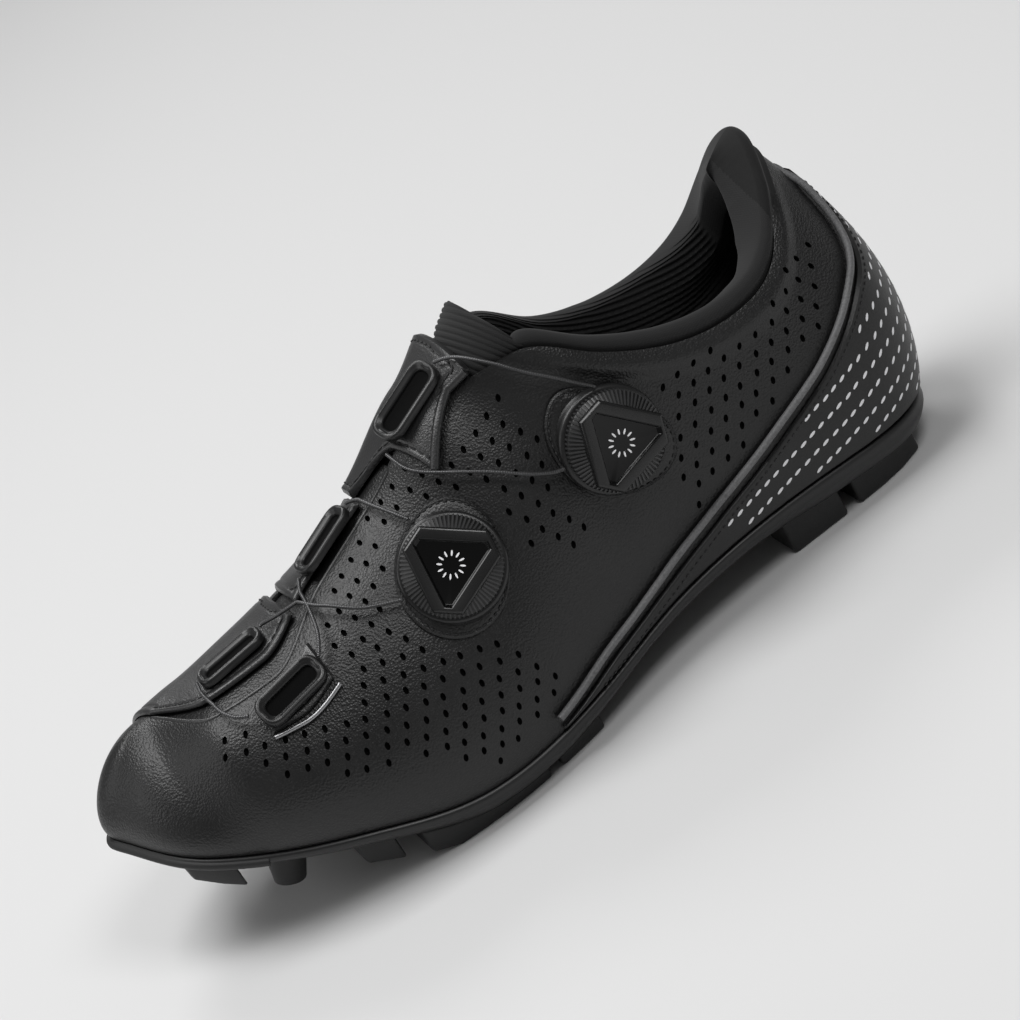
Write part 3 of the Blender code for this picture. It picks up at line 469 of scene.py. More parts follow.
def add_node(tree: NodeTree, kind: str, settings: dict[str, Any] | None = None,
             inputs: dict[str | int, Any] | None = None) -> Node:
    """Makes one node.

    Args:
        tree: the tree that gets it.
        kind: the node's type.
        settings: its properties, and "stops" for a ramp's (place, grey) pairs.
        inputs: values, sockets or Signals for its inputs, by name or number.

    Returns:
        The node.
    """
    node = tree.nodes.new(kind)
    for name, value in (settings or {}).items():
        if name == "stops":
            elements = node.color_ramp.elements
            while len(elements) < len(value):
                elements.new(0.5)
            for element, (place, grey) in zip(elements, value):
                element.position = place
                element.color = (grey, grey, grey, 1.0)
        else:
            setattr(node, name, value)
    for name, value in (inputs or {}).items():
        socket = node.inputs[name]
        if isinstance(value, Signal):
            tree.links.new(value.socket, socket)
        elif isinstance(value, NodeSocket):
            tree.links.new(value, socket)
        else:
            socket.default_value = value
    return node


class Signal:
    """A socket whose arithmetic adds Math nodes."""

    def __init__(self, tree: NodeTree, socket: NodeSocket) -> None:
        """Wraps a socket of a tree."""
        self.tree = tree
        self.socket = socket

    def combine(self, operation: str, first: Any, second: Any) -> Signal:
        """One Math node.

        Args:
            operation: the node's operation.
            first: a Signal or a number.
            second: a Signal or a number.

        Returns:
            The node's result.
        """
        node = add_node(self.tree, "ShaderNodeMath", {"operation": operation}, {0: first, 1: second})
        return Signal(self.tree, node.outputs[0])

    def __add__(self, other: Any) -> Signal:
        """Sum."""
        return self.combine("ADD", self, other)

    def __radd__(self, other: Any) -> Signal:
        """Sum with a number on the left."""
        return self.combine("ADD", other, self)

    def __sub__(self, other: Any) -> Signal:
        """Difference."""
        return self.combine("SUBTRACT", self, other)

    def __rsub__(self, other: Any) -> Signal:
        """Difference from a number on the left."""
        return self.combine("SUBTRACT", other, self)

    def __mul__(self, other: Any) -> Signal:
        """Product."""
        return self.combine("MULTIPLY", self, other)

    def __rmul__(self, other: Any) -> Signal:
        """Product with a number on the left."""
        return self.combine("MULTIPLY", other, self)

    def __gt__(self, other: Any) -> Signal:
        """1 where the signal is greater."""
        return self.combine("GREATER_THAN", self, other)


class Pattern(Enum):
    """What a finish's surface is made of."""

    GRAIN = "pebbled leather grain"
    MICRO = "fine synthetic grain"
    CLOTH = "woven or knitted cloth"
    SUEDE = "brushed lining"
    MOULDED = "moulded plastic or rubber"
    TWIST = "twisted cable"
    WEAVE = "laid fibre weave"
    PLAIN = "polished"


@dataclass(frozen=True)
class Finish:
    """A finish: its colours, shine and pattern, all sizes in metres."""

    CLOUD_SCALE: ClassVar[float] = 42.0

    name: str
    slot: str
    dark: float
    light: float
    roughness: float
    pattern: Pattern
    cell: float = 0.0008
    relief: float = 0.0001
    strength: float = 0.5
    metallic: float = 0.0
    coat: float = 0.0
    sheen: float = 0.0
    specular: float = 0.5
    spread: float = 0.10

    def material(self) -> Material:
        """The material, made once."""
        found = bpy.data.materials.get("finish_" + self.name)
        return found or self.build()

    def build(self) -> Material:
        """Makes the material's nodes.

        Returns:
            The new material.
        """
        material = bpy.data.materials.new("finish_" + self.name)
        material.use_nodes = True
        tree = material.node_tree
        shader = tree.nodes["Principled BSDF"]
        for socket, value in (
                ("Metallic", self.metallic), ("Coat Weight", self.coat), ("Coat Roughness", 0.08),
                ("Sheen Weight", self.sheen), ("Sheen Roughness", 0.5),
                ("Specular IOR Level", self.specular)):
            shader.inputs[socket].default_value = value
        where = add_node(tree, "ShaderNodeTexCoord").outputs["Object"]
        height = self.height(tree, where)
        drift = self.noise(tree, where, self.CLOUD_SCALE, 3.0)
        tone = drift * 0.55 + height * 0.45
        colour = add_node(tree, "ShaderNodeMix", {"data_type": "RGBA"}, {
            0: tone, 6: (self.dark, self.dark, self.dark * 1.02, 1.0),
            7: (self.light, self.light, self.light * 1.02, 1.0)})
        tree.links.new(colour.outputs[2], shader.inputs["Base Color"])
        shine = (drift - 0.5) * self.spread * 2 + (height - 0.5) * self.spread * -1 + self.roughness
        tree.links.new(shine.socket, shader.inputs["Roughness"])
        bump = add_node(tree, "ShaderNodeBump", None, {
            "Height": height, "Distance": self.relief, "Strength": self.strength})
        tree.links.new(bump.outputs["Normal"], shader.inputs["Normal"])
        return material

    def height(self, tree: NodeTree, where: NodeSocket) -> Signal:
        """The surface's relief, from 0 to 1.

        Args:
            tree: the material's nodes.
            where: object coordinates.

        Returns:
            The relief.
        """
        scale = 1.0 / self.cell
        fine = self.noise(tree, where, scale * 1.7, 4.0)
        if self.pattern in (Pattern.GRAIN, Pattern.MICRO):
            bent = add_node(tree, "ShaderNodeTexNoise", None, {
                "Vector": where, "Scale": scale * 0.35, "Detail": 2.0})
            push = add_node(tree, "ShaderNodeVectorMath", {"operation": "MULTIPLY_ADD"}, {
                0: bent.outputs["Color"], 1: (self.cell * 0.9,) * 3, 2: where})
            cells = add_node(tree, "ShaderNodeTexVoronoi", {"feature": "SMOOTH_F1"}, {
                "Vector": push.outputs[0], "Scale": scale, "Smoothness": 0.35})
            pebble = 1.0 - Signal(tree, cells.outputs["Distance"]) * 1.25
            return pebble * 0.75 + fine * 0.25
        if self.pattern is Pattern.CLOTH:
            warp = self.wave(tree, where, scale, (1.0, 0.25, 0.8))
            weft = self.wave(tree, where, scale, (-0.3, 1.0, 0.7))
            return warp * weft * 0.7 + fine * 0.3
        if self.pattern is Pattern.SUEDE:
            return self.noise(tree, where, scale * 0.5, 6.0, 0.7) * 0.6 + fine * 0.4
        if self.pattern is Pattern.TWIST:
            strand = add_node(tree, "ShaderNodeUVMap", {"uv_map": "lay"}).outputs["UV"]
            lay = add_node(tree, "ShaderNodeTexWave", {"bands_direction": "DIAGONAL"}, {
                "Vector": strand, "Scale": 1.0, "Distortion": 0.0})
            return Signal(tree, lay.outputs["Fac"])
        if self.pattern is Pattern.WEAVE:
            over = self.wave(tree, where, scale, (1.0, 1.0, 0.0))
            under = self.wave(tree, where, scale * 0.5, (1.0, -1.0, 0.0))
            return (over * 0.6 + (under > 0.5) * 0.25) + fine * 0.15
        return fine

    @staticmethod
    def noise(tree: NodeTree, where: NodeSocket, scale: float, detail: float, rough: float = 0.5) -> Signal:
        """Noise of a scale in places to a metre."""
        return Signal(tree, add_node(tree, "ShaderNodeTexNoise", None, {
            "Vector": where, "Scale": scale, "Detail": detail, "Roughness": rough}).outputs["Fac"])

    @staticmethod
    def wave(tree: NodeTree, where: NodeSocket, scale: float,
             way: Triple) -> Signal:
        """A soft wave across the surface.

        Args:
            tree: the material's nodes.
            where: object coordinates.
            scale: waves to a metre.
            way: the way across the waves.

        Returns:
            The wave, from 0 to 1.
        """
        size = math.sqrt(sum(part * part for part in way))
        aim = tuple(part / size * scale * 2 * math.pi for part in way)
        phase = add_node(tree, "ShaderNodeVectorMath", {"operation": "DOT_PRODUCT"}, {0: where, 1: aim})
        turn = Signal(tree, phase.outputs["Value"])
        sine = turn.combine("SINE", turn, 0.0)
        return sine * 0.5 + 0.5


LEATHER = Finish("leather", "leather", 0.003, 0.009, 0.40, Pattern.GRAIN, 0.0007, 0.00020, 0.7)
# Lighter copy of the leather for the strap, wings, tab and rolled edges: painted light on these raised
# layers.
LIT_LEATHER = Finish("wing_leather", "leather", 0.012, 0.026, 0.38, Pattern.GRAIN, 0.0006, 0.00015, 0.5,
                      specular=0.65)
# Very dark, matte copy of the leather for the cut walls of the perforations and the floors inside the wire
# guides: painted shade in these hollows.
HOLLOW_SHADE = Finish("punched", "leather", 0.0015, 0.003, 0.9, Pattern.SUEDE, specular=0.1)
COUNTER = Finish("counter", "counter_synthetic", 0.004, 0.009, 0.44, Pattern.MICRO, 0.0006, 0.00010, 0.4)
TAPE = Finish("tape", "piping_tape", 0.06, 0.20, 0.5, Pattern.MICRO, 0.0007, 0.00014, 0.6)
KNIT = Finish("knit", "tongue_knit", 0.003, 0.008, 0.90, Pattern.CLOTH, 0.0006, 0.0001, 0.5, sheen=0.05)
LINING = Finish("lining", "collar_lining", 0.006, 0.018, 0.9, Pattern.CLOTH, 0.0005, 0.00008, 0.4, sheen=0.05)
SUEDE = Finish("suede", "collar_lining", 0.002, 0.007, 0.95, Pattern.SUEDE, 0.0008, 0.0001, 0.5, sheen=0.05)
FOOTBED = Finish("footbed", "insole_foam", 0.004, 0.010, 0.93, Pattern.CLOTH, 0.0010, 0.0001, 0.5, sheen=0.1)
NYLON = Finish("nylon", "sole_nylon", 0.006, 0.012, 0.42, Pattern.MOULDED, 0.0012, 0.00008, 0.25)
WEAVE = Finish("weave", "sole_nylon", 0.008, 0.026, 0.36, Pattern.WEAVE, 0.0030, 0.00005, 0.3)
RUBBER = Finish("rubber", "tread_rubber", 0.006, 0.013, 0.58, Pattern.MOULDED, 0.0010, 0.00012, 0.4)
PLASTIC = Finish("plastic", "guide_plastic", 0.006, 0.011, 0.36, Pattern.MOULDED, 0.0008, 0.00005, 0.25)
# Lighter copy of the knob's plastic for its ribs: painted highlight along the ribs.
KNURL_HIGHLIGHT = Finish("ribs", "guide_plastic", 0.016, 0.040, 0.38, Pattern.MOULDED, 0.0008, 0.00003, 0.2)
CAP = Finish("cap", "dial_gloss", 0.005, 0.009, 0.28, Pattern.MOULDED, 0.0008, 0.00003, 0.2)
KNOB = Finish("knob", "guide_plastic", 0.003, 0.006, 0.45, Pattern.MOULDED, 0.0008, 0.00003, 0.2)
GLOSS = Finish("gloss", "dial_gloss", 0.001, 0.002, 0.16, Pattern.PLAIN, 0.002, 0.00001, 0.1, coat=0.15,
               specular=0.25, spread=0.03)
WIRE = Finish("wire", "wire_steel", 0.040, 0.120, 0.40, Pattern.TWIST, 0.001, 0.0001, 0.4, metallic=0.7)
STEEL = Finish("steel", "screw_steel", 0.28, 0.36, 0.36, Pattern.MOULDED, 0.0008, 0.00003, 0.3, metallic=1.0)
DARK_STEEL = Finish("dark_steel", "screw_steel", 0.12, 0.22, 0.34, Pattern.MOULDED, 0.0008, 0.00003, 0.3,
                    metallic=1.0)
PRINT = Finish("print", "counter_synthetic", 0.72, 0.86, 0.45, Pattern.MOULDED, 0.0006, 0.00003, 0.2)
TICKS = Finish("ticks", "dial_gloss", 0.80, 0.90, 0.40, Pattern.MOULDED, 0.0006, 0.00001, 0.1)
THREAD = Finish("thread", "leather", 0.010, 0.026, 0.7, Pattern.CLOTH, 0.0003, 0.00005, 0.5)


# Meshes


def grid_faces(columns: int, levels: int, start: int = 0, wrap: bool = False) -> Array:
    """Quads of a grid of points.

    Args:
        columns: points in the first direction.
        levels: points in the second direction.
        start: number of the first point.
        wrap: whether the last column meets the first.

    Returns:
        One row of four point numbers for each face.
    """
    i = np.arange(columns if wrap else columns - 1)[:, None]
    j = np.arange(levels - 1)[None, :]
    k = (i + 1) % columns
    corners = (i * levels + j, k * levels + j, k * levels + j + 1, i * levels + j + 1)
    return np.stack([corner.reshape(-1) for corner in np.broadcast_arrays(*corners)], -1) + start


def placed(name: str, data: bpy.types.ID) -> Object:
    """An object in the scene's own collection."""
    piece = bpy.data.objects.new(name, data)
    bpy.context.scene.collection.objects.link(piece)
    return piece


def new_object(name: str, points: Array, faces: Faces,
               edges: Sequence[tuple[int, int]] = ()) -> Object:
    """An object from points, faces and loose edges."""
    mesh = bpy.data.meshes.new(name)
    mesh.from_pydata(np.asarray(points, float).tolist(), edges, [list(map(int, face)) for face in faces])
    return placed(name, mesh)


@contextmanager
def editing(piece: Object) -> Iterator[bmesh.types.BMesh]:
    """A piece's mesh, open for edits and written back after them."""
    bm = bmesh.new()
    bm.from_mesh(piece.data)
    yield bm
    bm.to_mesh(piece.data)
    bm.free()


def sheet(name: str, grid: Array, wrap: bool = False) -> Object:
    """A surface from a grid of points, with points at one place made one."""
    columns, levels = grid.shape[:2]
    return welded(name, grid.reshape(-1, 3), grid_faces(columns, levels, wrap=wrap))


def shell(name: str, top: Array, bottom: Array) -> Object:
    """A closed body between two grids of the same shape.

    Args:
        name: the piece's name.
        top: points of the outer face.
        bottom: points of the inner face.

    Returns:
        The new object, with its faces pointing out.
    """
    columns, levels = top.shape[:2]
    count = columns * levels
    faces = [grid_faces(columns, levels), grid_faces(columns, levels, count)[:, ::-1]]
    low = np.arange(columns - 1) * levels
    high = low + levels - 1
    first = np.arange(levels - 1)
    last = (columns - 1) * levels + first
    for start, stop in ((low + levels, low), (high, high + levels), (first, first + 1), (last + 1, last)):
        faces.append(np.stack([start, stop, stop + count, start + count], -1))
    points = np.concatenate([top.reshape(-1, 3), bottom.reshape(-1, 3)])
    return welded(name, points, np.concatenate(faces))


def weld(piece: Object) -> None:
    """Merges points at one place and points the faces out."""
    with editing(piece) as bm:
        bmesh.ops.remove_doubles(bm, verts=bm.verts, dist=2e-6)
        bmesh.ops.dissolve_degenerate(bm, edges=bm.edges, dist=1e-7)
        if bm.calc_volume(signed=True) < 0:
            bmesh.ops.reverse_faces(bm, faces=bm.faces)


def welded(name: str, points: Array, faces: Faces) -> Object:
    """An object from points and faces, with points at one place made one."""
    piece = new_object(name, points, faces)
    weld(piece)
    return piece


def turned(name: str, rings: Sequence[Array]) -> Object:
    """A closed body through rings of points, capped at both ends."""
    grid = np.array(rings).transpose(1, 0, 2)
    count, levels = grid.shape[:2]
    faces = grid_faces(count, levels, wrap=True).tolist()
    faces += [[k * levels for k in reversed(range(count))], [k * levels + levels - 1 for k in range(count)]]
    return welded(name, grid.reshape(-1, 3), faces)


def prism(name: str, outline: Array, low: float, high: float) -> Object:
    """A closed upright body over an outline.

    Args:
        name: the piece's name.
        outline: x and y of its corners.
        low: height of its floor.
        high: height of its top.

    Returns:
        The new object, not welded.
    """
    count = len(outline)
    points = np.concatenate([np.column_stack([outline, np.full(count, z)]) for z in (low, high)])
    faces = [[k, (k + 1) % count, count + (k + 1) % count, count + k] for k in range(count)]
    return new_object(name, points, [*faces, list(reversed(range(count))), list(range(count, 2 * count))])


def bake_modifiers(piece: Object) -> Object:
    """Turns a piece's modifiers into its mesh."""
    bpy.context.view_layer.update()
    graph = bpy.context.evaluated_depsgraph_get()
    mesh = bpy.data.meshes.new_from_object(piece.evaluated_get(graph))
    piece.modifiers.clear()
    piece.data = mesh
    return piece


def give_wall(piece: Object, wall: float) -> None:
    """Thickens an open surface inward."""
    solid = piece.modifiers.new("wall", "SOLIDIFY")
    solid.thickness = wall
    solid.offset = -1.0
    solid.use_even_offset = True


def cut_away(piece: Object, cutter: Object, solver: str, keep_material: bool = False) -> None:
    """Takes a body out of a piece and removes the body.

    Args:
        piece: the object to cut.
        cutter: the closed body.
        solver: the modifier's solver.
        keep_material: whether the cut faces get the cutter's material.
    """
    cut = piece.modifiers.new("cut", "BOOLEAN")
    cut.operation = "DIFFERENCE"
    cut.solver = solver
    if keep_material:
        cut.material_mode = "TRANSFER"
    cut.object = cutter
    bake_modifiers(piece)
    bpy.data.objects.remove(cutter)


def soften(piece: Object, width: float, segments: int = 2, angle: float = 35.0) -> None:
    """Rounds a piece's edges.

    Args:
        piece: the object.
        width: size of the rounding.
        segments: faces across it.
        angle: degrees from which an edge counts as one.
    """
    bevel = piece.modifiers.new("edges", "BEVEL")
    bevel.width = width
    bevel.segments = segments
    bevel.limit_method = "ANGLE"
    bevel.angle_limit = math.radians(angle)
    bevel.harden_normals = False


def dress(piece: Object, finish: Finish, stands_for: Sequence[str] = (), crease: float = 38.0) -> None:
    """Gives a piece its finish, its smooth shading and its body.

    Args:
        piece: the object.
        finish: its main finish, put on only if it has none.
        stands_for: CAD nodes that it replaces.
        crease: degrees from which an edge stays sharp.
    """
    if not piece.data.materials:
        piece.data.materials.append(finish.material())
    piece.data.shade_smooth()
    piece.data.set_sharp_from_angle(angle=math.radians(crease))
    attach(piece, "root")
    if stands_for:
        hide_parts(*stands_for)
    LOG.info("%s: %d points", piece.name, len(piece.data.vertices))


def path_tube(name: str, points: Array, radius: float, sides: int = 12, lay: float = 0.0) -> Object:
    """A round closed tube along points, with its own lay of strands as a UV map.

    Args:
        name: the piece's name.
        points: the path.
        radius: the tube's radius.
        sides: points round it.
        lay: strands to a metre for the UV map, or 0 for none.

    Returns:
        The new object.
    """
    points = np.asarray(points, float)
    tangent = unit(np.gradient(points, axis=0))
    side = unit(np.cross(tangent[0], (0.0, 0.0, 1.0)))
    angles = turns(sides)
    rings = []
    for point, way in zip(points, tangent):
        side = unit(side - way * np.dot(side, way))
        up = np.cross(way, side)
        rings.append(point + radius * (np.cos(angles)[:, None] * side + np.sin(angles)[:, None] * up))
    grid = np.array(rings).transpose(1, 0, 2).reshape(-1, 3)
    count = len(points)
    faces = grid_faces(sides, count, wrap=True).tolist()
    for i in range(sides):
        k = (i + 1) % sides
        faces.append([k * count, i * count, len(grid)])
        faces.append([i * count + count - 1, k * count + count - 1, len(grid) + 1])
    piece = new_object(name, np.concatenate([grid, points[[0, -1]]]), faces)
    if lay:
        along = run_length(points)
        layer = piece.data.uv_layers.new(name="lay")
        for loop in piece.data.loops:
            number = loop.vertex_index
            if number < sides * count:
                layer.data[loop.index].uv = (along[number % count] * lay, (number // count) / sides)
    weld(piece)
    return piece


def edge_distance(grid: Array) -> Array:
    """How far each point of a patch lies from the patch's nearest edge."""
    found = np.full(grid.shape[:2], np.inf)
    for axis in (0, 1):
        steps = np.linalg.norm(np.diff(grid, axis=axis), axis=-1)
        start = np.zeros_like(np.take(steps, [0], axis=axis))
        run = np.concatenate([start, np.cumsum(steps, axis=axis)], axis=axis)
        total = np.take(run, [-1], axis=axis)
        found = np.minimum(found, np.minimum(run, total - run))
    return found


def rounded(distance: Array, reach: float, least: float = 0.35) -> Array:
    """Share of the full thickness near an edge, from least at the edge to 1 at reach."""
    inside = np.clip(distance / reach, 0, 1)
    return least + (1 - least) * np.sqrt(1 - (1 - inside) ** 2)


# Geometry Nodes


class NodeTool:
    """A Geometry Nodes tree with named inputs, run once on an object."""

    def __init__(self, name: str, sockets: dict[str, tuple[str, Any]]) -> None:
        """Makes the tree and its sockets.

        Args:
            name: the tree's name.
            sockets: each input's type and default.
        """
        self.group = bpy.data.node_groups.new(name, "GeometryNodeTree")
        face = self.group.interface
        face.new_socket("Geometry", in_out="INPUT", socket_type="NodeSocketGeometry")
        self.keys: dict[str, str] = {}
        for title, (kind, default) in sockets.items():
            socket = face.new_socket(title, in_out="INPUT", socket_type=kind)
            if default is not None:
                socket.default_value = default
            self.keys[title] = socket.identifier
        face.new_socket("Geometry", in_out="OUTPUT", socket_type="NodeSocketGeometry")
        self.entry = self.group.nodes.new("NodeGroupInput")
        self.exit = self.group.nodes.new("NodeGroupOutput")

    def node(self, kind: str, settings: dict[str, Any] | None = None,
             inputs: dict[str | int, Any] | None = None) -> Node:
        """One node of the tree."""
        return add_node(self.group, kind, settings, inputs)

    def aimed(self, way: NodeSocket, axis: str, start: Any = None, pivot: str = "AUTO") -> Any:
        """A rotation that turns an axis to a way.

        Args:
            way: the vector to follow.
            axis: the axis that follows it.
            start: a rotation to start from.
            pivot: the axis to turn about.

        Returns:
            The rotation's socket.
        """
        inputs: dict[str | int, Any] = {"Vector": way}
        if start is not None:
            inputs["Rotation"] = start
        settings = {"axis": axis, "pivot_axis": pivot}
        return self.node("FunctionNodeAlignRotationToVector", settings, inputs).outputs[0]

    def vector(self, operation: str, first: Any, second: Any) -> NodeSocket:
        """One step of arithmetic on vectors."""
        inputs = {0: first, "Scale" if operation == "SCALE" else 1: second}
        return self.node("ShaderNodeVectorMath", {"operation": operation}, inputs).outputs[0]

    def scatter(self, points: NodeSocket, shape: NodeSocket, size: Sequence[NodeSocket],
                turn: NodeSocket) -> None:
        """Puts a scaled shape on each point, and ends the tree.

        Args:
            points: where the shapes go.
            shape: the shape, of unit size.
            size: its scales along x, y and z.
            turn: each shape's rotation.
        """
        scale = self.node("ShaderNodeCombineXYZ", None, dict(enumerate(size))).outputs[0]
        scaled = self.node("GeometryNodeTransform", None, {"Geometry": shape, "Scale": scale}).outputs[0]
        spread = self.node("GeometryNodeInstanceOnPoints", None, {
            "Points": points, "Instance": scaled, "Rotation": turn})
        real = self.node("GeometryNodeRealizeInstances", None, {"Geometry": spread.outputs[0]})
        painted = self.node("GeometryNodeSetMaterial", None, {
            "Geometry": real.outputs[0], "Material": self.entry.outputs["Material"]})
        self.group.links.new(painted.outputs[0], self.exit.inputs[0])

    def run(self, piece: Object, values: dict[str, Any]) -> Object:
        """Runs the tree on an object and keeps the result as its mesh.

        Args:
            piece: the object that holds the tree's geometry.
            values: the inputs by name.

        Returns:
            The same object.
        """
        modifier = piece.modifiers.new(self.group.name, "NODES")
        modifier.node_group = self.group
        for title, value in values.items():
            modifier[self.keys[title]] = value
        return bake_modifiers(piece)


def inlay_tool() -> NodeTool:
    """Oval prisms on points, turned by the attributes way_out and way_along."""
    tool = NodeTool("inlays", {
        "Length": ("NodeSocketFloat", 0.002), "Width": ("NodeSocketFloat", 0.001),
        "Depth": ("NodeSocketFloat", 0.001), "Sides": ("NodeSocketInt", 12),
        "Material": ("NodeSocketMaterial", None)})
    entry = tool.entry.outputs
    oval = tool.node("GeometryNodeMeshCylinder", {"fill_type": "NGON"}, {
        "Vertices": entry["Sides"], "Radius": 0.5, "Depth": 1.0})
    out, along = (tool.node("GeometryNodeInputNamedAttribute", {"data_type": "FLOAT_VECTOR"}, {"Name": name})
                  for name in ("way_out", "way_along"))
    turn = tool.aimed(along.outputs[0], "X", tool.aimed(out.outputs[0], "Z"), "Z")
    size = (entry["Length"], entry["Width"], entry["Depth"])
    tool.scatter(entry["Geometry"], oval.outputs["Mesh"], size, turn)
    return tool


def stitch_tool() -> NodeTool:
    """Stitches along a line of edges."""
    tool = NodeTool("stitches", {
        "Pitch": ("NodeSocketFloat", 0.0026), "Length": ("NodeSocketFloat", 0.0019),
        "Radius": ("NodeSocketFloat", 0.0003), "Material": ("NodeSocketMaterial", None)})
    entry = tool.entry.outputs
    curve = tool.node("GeometryNodeMeshToCurve", None, {"Mesh": entry["Geometry"]})
    spaced = tool.node("GeometryNodeResampleCurve", {"mode": "LENGTH"}, {
        "Curve": curve.outputs[0], "Length": entry["Pitch"]})
    bead = tool.node("GeometryNodeMeshUVSphere", None, {"Segments": 8, "Rings": 5, "Radius": 1.0})
    half = tool.node("ShaderNodeMath", {"operation": "MULTIPLY"}, {0: entry["Length"], 1: 0.5})
    turn = tool.aimed(tool.node("GeometryNodeInputTangent").outputs[0], "Z")
    size = (entry["Radius"], entry["Radius"], half.outputs[0])
    tool.scatter(spaced.outputs[0], bead.outputs["Mesh"], size, turn)
    return tool


def knurl_tool() -> NodeTool:
    """Bars round a circle, each along its radius with a tilt."""
    tool = NodeTool("knurls", {
        "Count": ("NodeSocketInt", 90), "Radius": ("NodeSocketFloat", 0.012),
        "Length": ("NodeSocketFloat", 0.004), "Width": ("NodeSocketFloat", 0.0004),
        "Tilt": ("NodeSocketFloat", -0.2), "Reach": ("NodeSocketFloat", 1.0),
        "Material": ("NodeSocketMaterial", None)})
    entry = tool.entry.outputs
    circle = tool.node("GeometryNodeMeshCircle", None, {
        "Vertices": entry["Count"], "Radius": entry["Radius"]})
    bar = tool.node("GeometryNodeMeshCube")
    out = tool.vector("NORMALIZE", tool.node("GeometryNodeInputPosition").outputs[0], (0.0, 0.0, 0.0))
    tilt = tool.node("ShaderNodeCombineXYZ", None, {"Z": entry["Tilt"]})
    aim = tool.vector("ADD", tool.vector("SCALE", out, entry["Reach"]), tilt.outputs[0])
    side = tool.vector("CROSS_PRODUCT", out, (0.0, 0.0, 1.0))
    turn = tool.aimed(side, "Y", tool.aimed(aim, "Z"), "Z")
    size = (entry["Width"], entry["Width"], entry["Length"])
    tool.scatter(circle.outputs[0], bar.outputs["Mesh"], size, turn)
    return tool


@dataclass
class Toolbox:
    """The node tools that the classes share."""

    inlays: NodeTool = field(default_factory=inlay_tool)
    stitches: NodeTool = field(default_factory=stitch_tool)
    knurls: NodeTool = field(default_factory=knurl_tool)

    def inlay(self, name: str, points: Array, out: Array, along: Array,
              size: Triple, finish: Finish, sides: int = 12) -> Object:
        """Oval prisms on points.

        Args:
            name: the piece's name.
            points: middles of the prisms.
            out: the ways of their axes.
            along: the ways of their long sides.
            size: length, width and depth.
            finish: their finish.
            sides: faces round each.

        Returns:
            The new object.
        """
        piece = new_object(name, points, [])
        for title, values in (("way_out", out), ("way_along", along)):
            layer = piece.data.attributes.new(title, "FLOAT_VECTOR", "POINT")
            layer.data.foreach_set("vector", np.asarray(values, np.float32).reshape(-1))
        return self.inlays.run(piece, {
            "Length": size[0], "Width": size[1], "Depth": size[2], "Sides": sides,
            "Material": finish.material()})

    def stitch(self, name: str, runs: Sequence[Array], pitch: float = 0.0026, length: float = 0.0019,
               radius: float = 0.00032, finish: Finish = THREAD) -> Object:
        """Stitches along one or more runs.

        Args:
            name: the piece's name.
            runs: the points of each run.
            pitch: from stitch to stitch.
            length: of a stitch.
            radius: of the thread.
            finish: the thread's finish.

        Returns:
            The dressed object.
        """
        points, edges = [], []
        for run in runs:
            first = len(points)
            points += [tuple(point) for point in run]
            edges += [(first + k, first + k + 1) for k in range(len(run) - 1)]
        piece = new_object(name, points, [], edges)
        self.stitches.run(piece, {
            "Pitch": pitch, "Length": length, "Radius": radius, "Material": finish.material()})
        dress(piece, finish)
        return piece


# Upper


class PunchZone(NamedTuple):
    """A field of perforations on the outer side, in millimetres: x, and height up the skin."""

    name: str
    corners: tuple[Pair, ...]
    start: Pair
    along: Pair
    step: Pair
    bend: float


PUNCH_ZONES = (
    PunchZone("instep", (
        (-34, 90), (-8, 90), (-5, 85), (2, 83), (17, 82), (21, 66), (22, 52), (21, 39), (14, 33), (3, 44),
        (-6, 51), (-12, 60), (-30, 64)), (13.6, 75.8), (5.3, 0.65), (2.5, -5.1), 0.0),
    PunchZone("waist", (
        (-63, 55), (-62, 66), (-50, 78), (-36, 84), (-33, 84), (-31, 66), (-36, 56), (-44, 49.5)),
        (-54.1, 68.9), (4.8, 2.3), (2.3, -4.4), 0.0),
    PunchZone("forefoot", (
        (-106, 43), (-105, 35), (-98, 29), (-93, 23), (-62, 21), (-50, 12), (-44, 5), (-36, 6), (-22, 7),
        (-14, 12), (-17, 20), (-21, 31), (-34, 40), (-44, 49), (-63, 52), (-66, 41), (-92, 42)),
        (-48.3, 47.5), (5.3, 0.0), (2.65, 5.0), 0.0042),
    PunchZone("quarter", (
        (43, 14), (62, 20), (92, 32), (112, 43), (121, 60), (118, 62), (106, 61), (95, 54), (80, 51.5),
        (66, 55), (59, 56), (51, 44), (48, 30)), (74.0, 42.9), (5.8, 0.3), (3.0, 5.1), 0.0),
)
PUNCH_BEND_FROM = -82.0
PUNCH_SIZE = (0.0024, 0.0015)
PUNCH_DEPTH = 0.0013
PUNCH_RISE = 0.0030


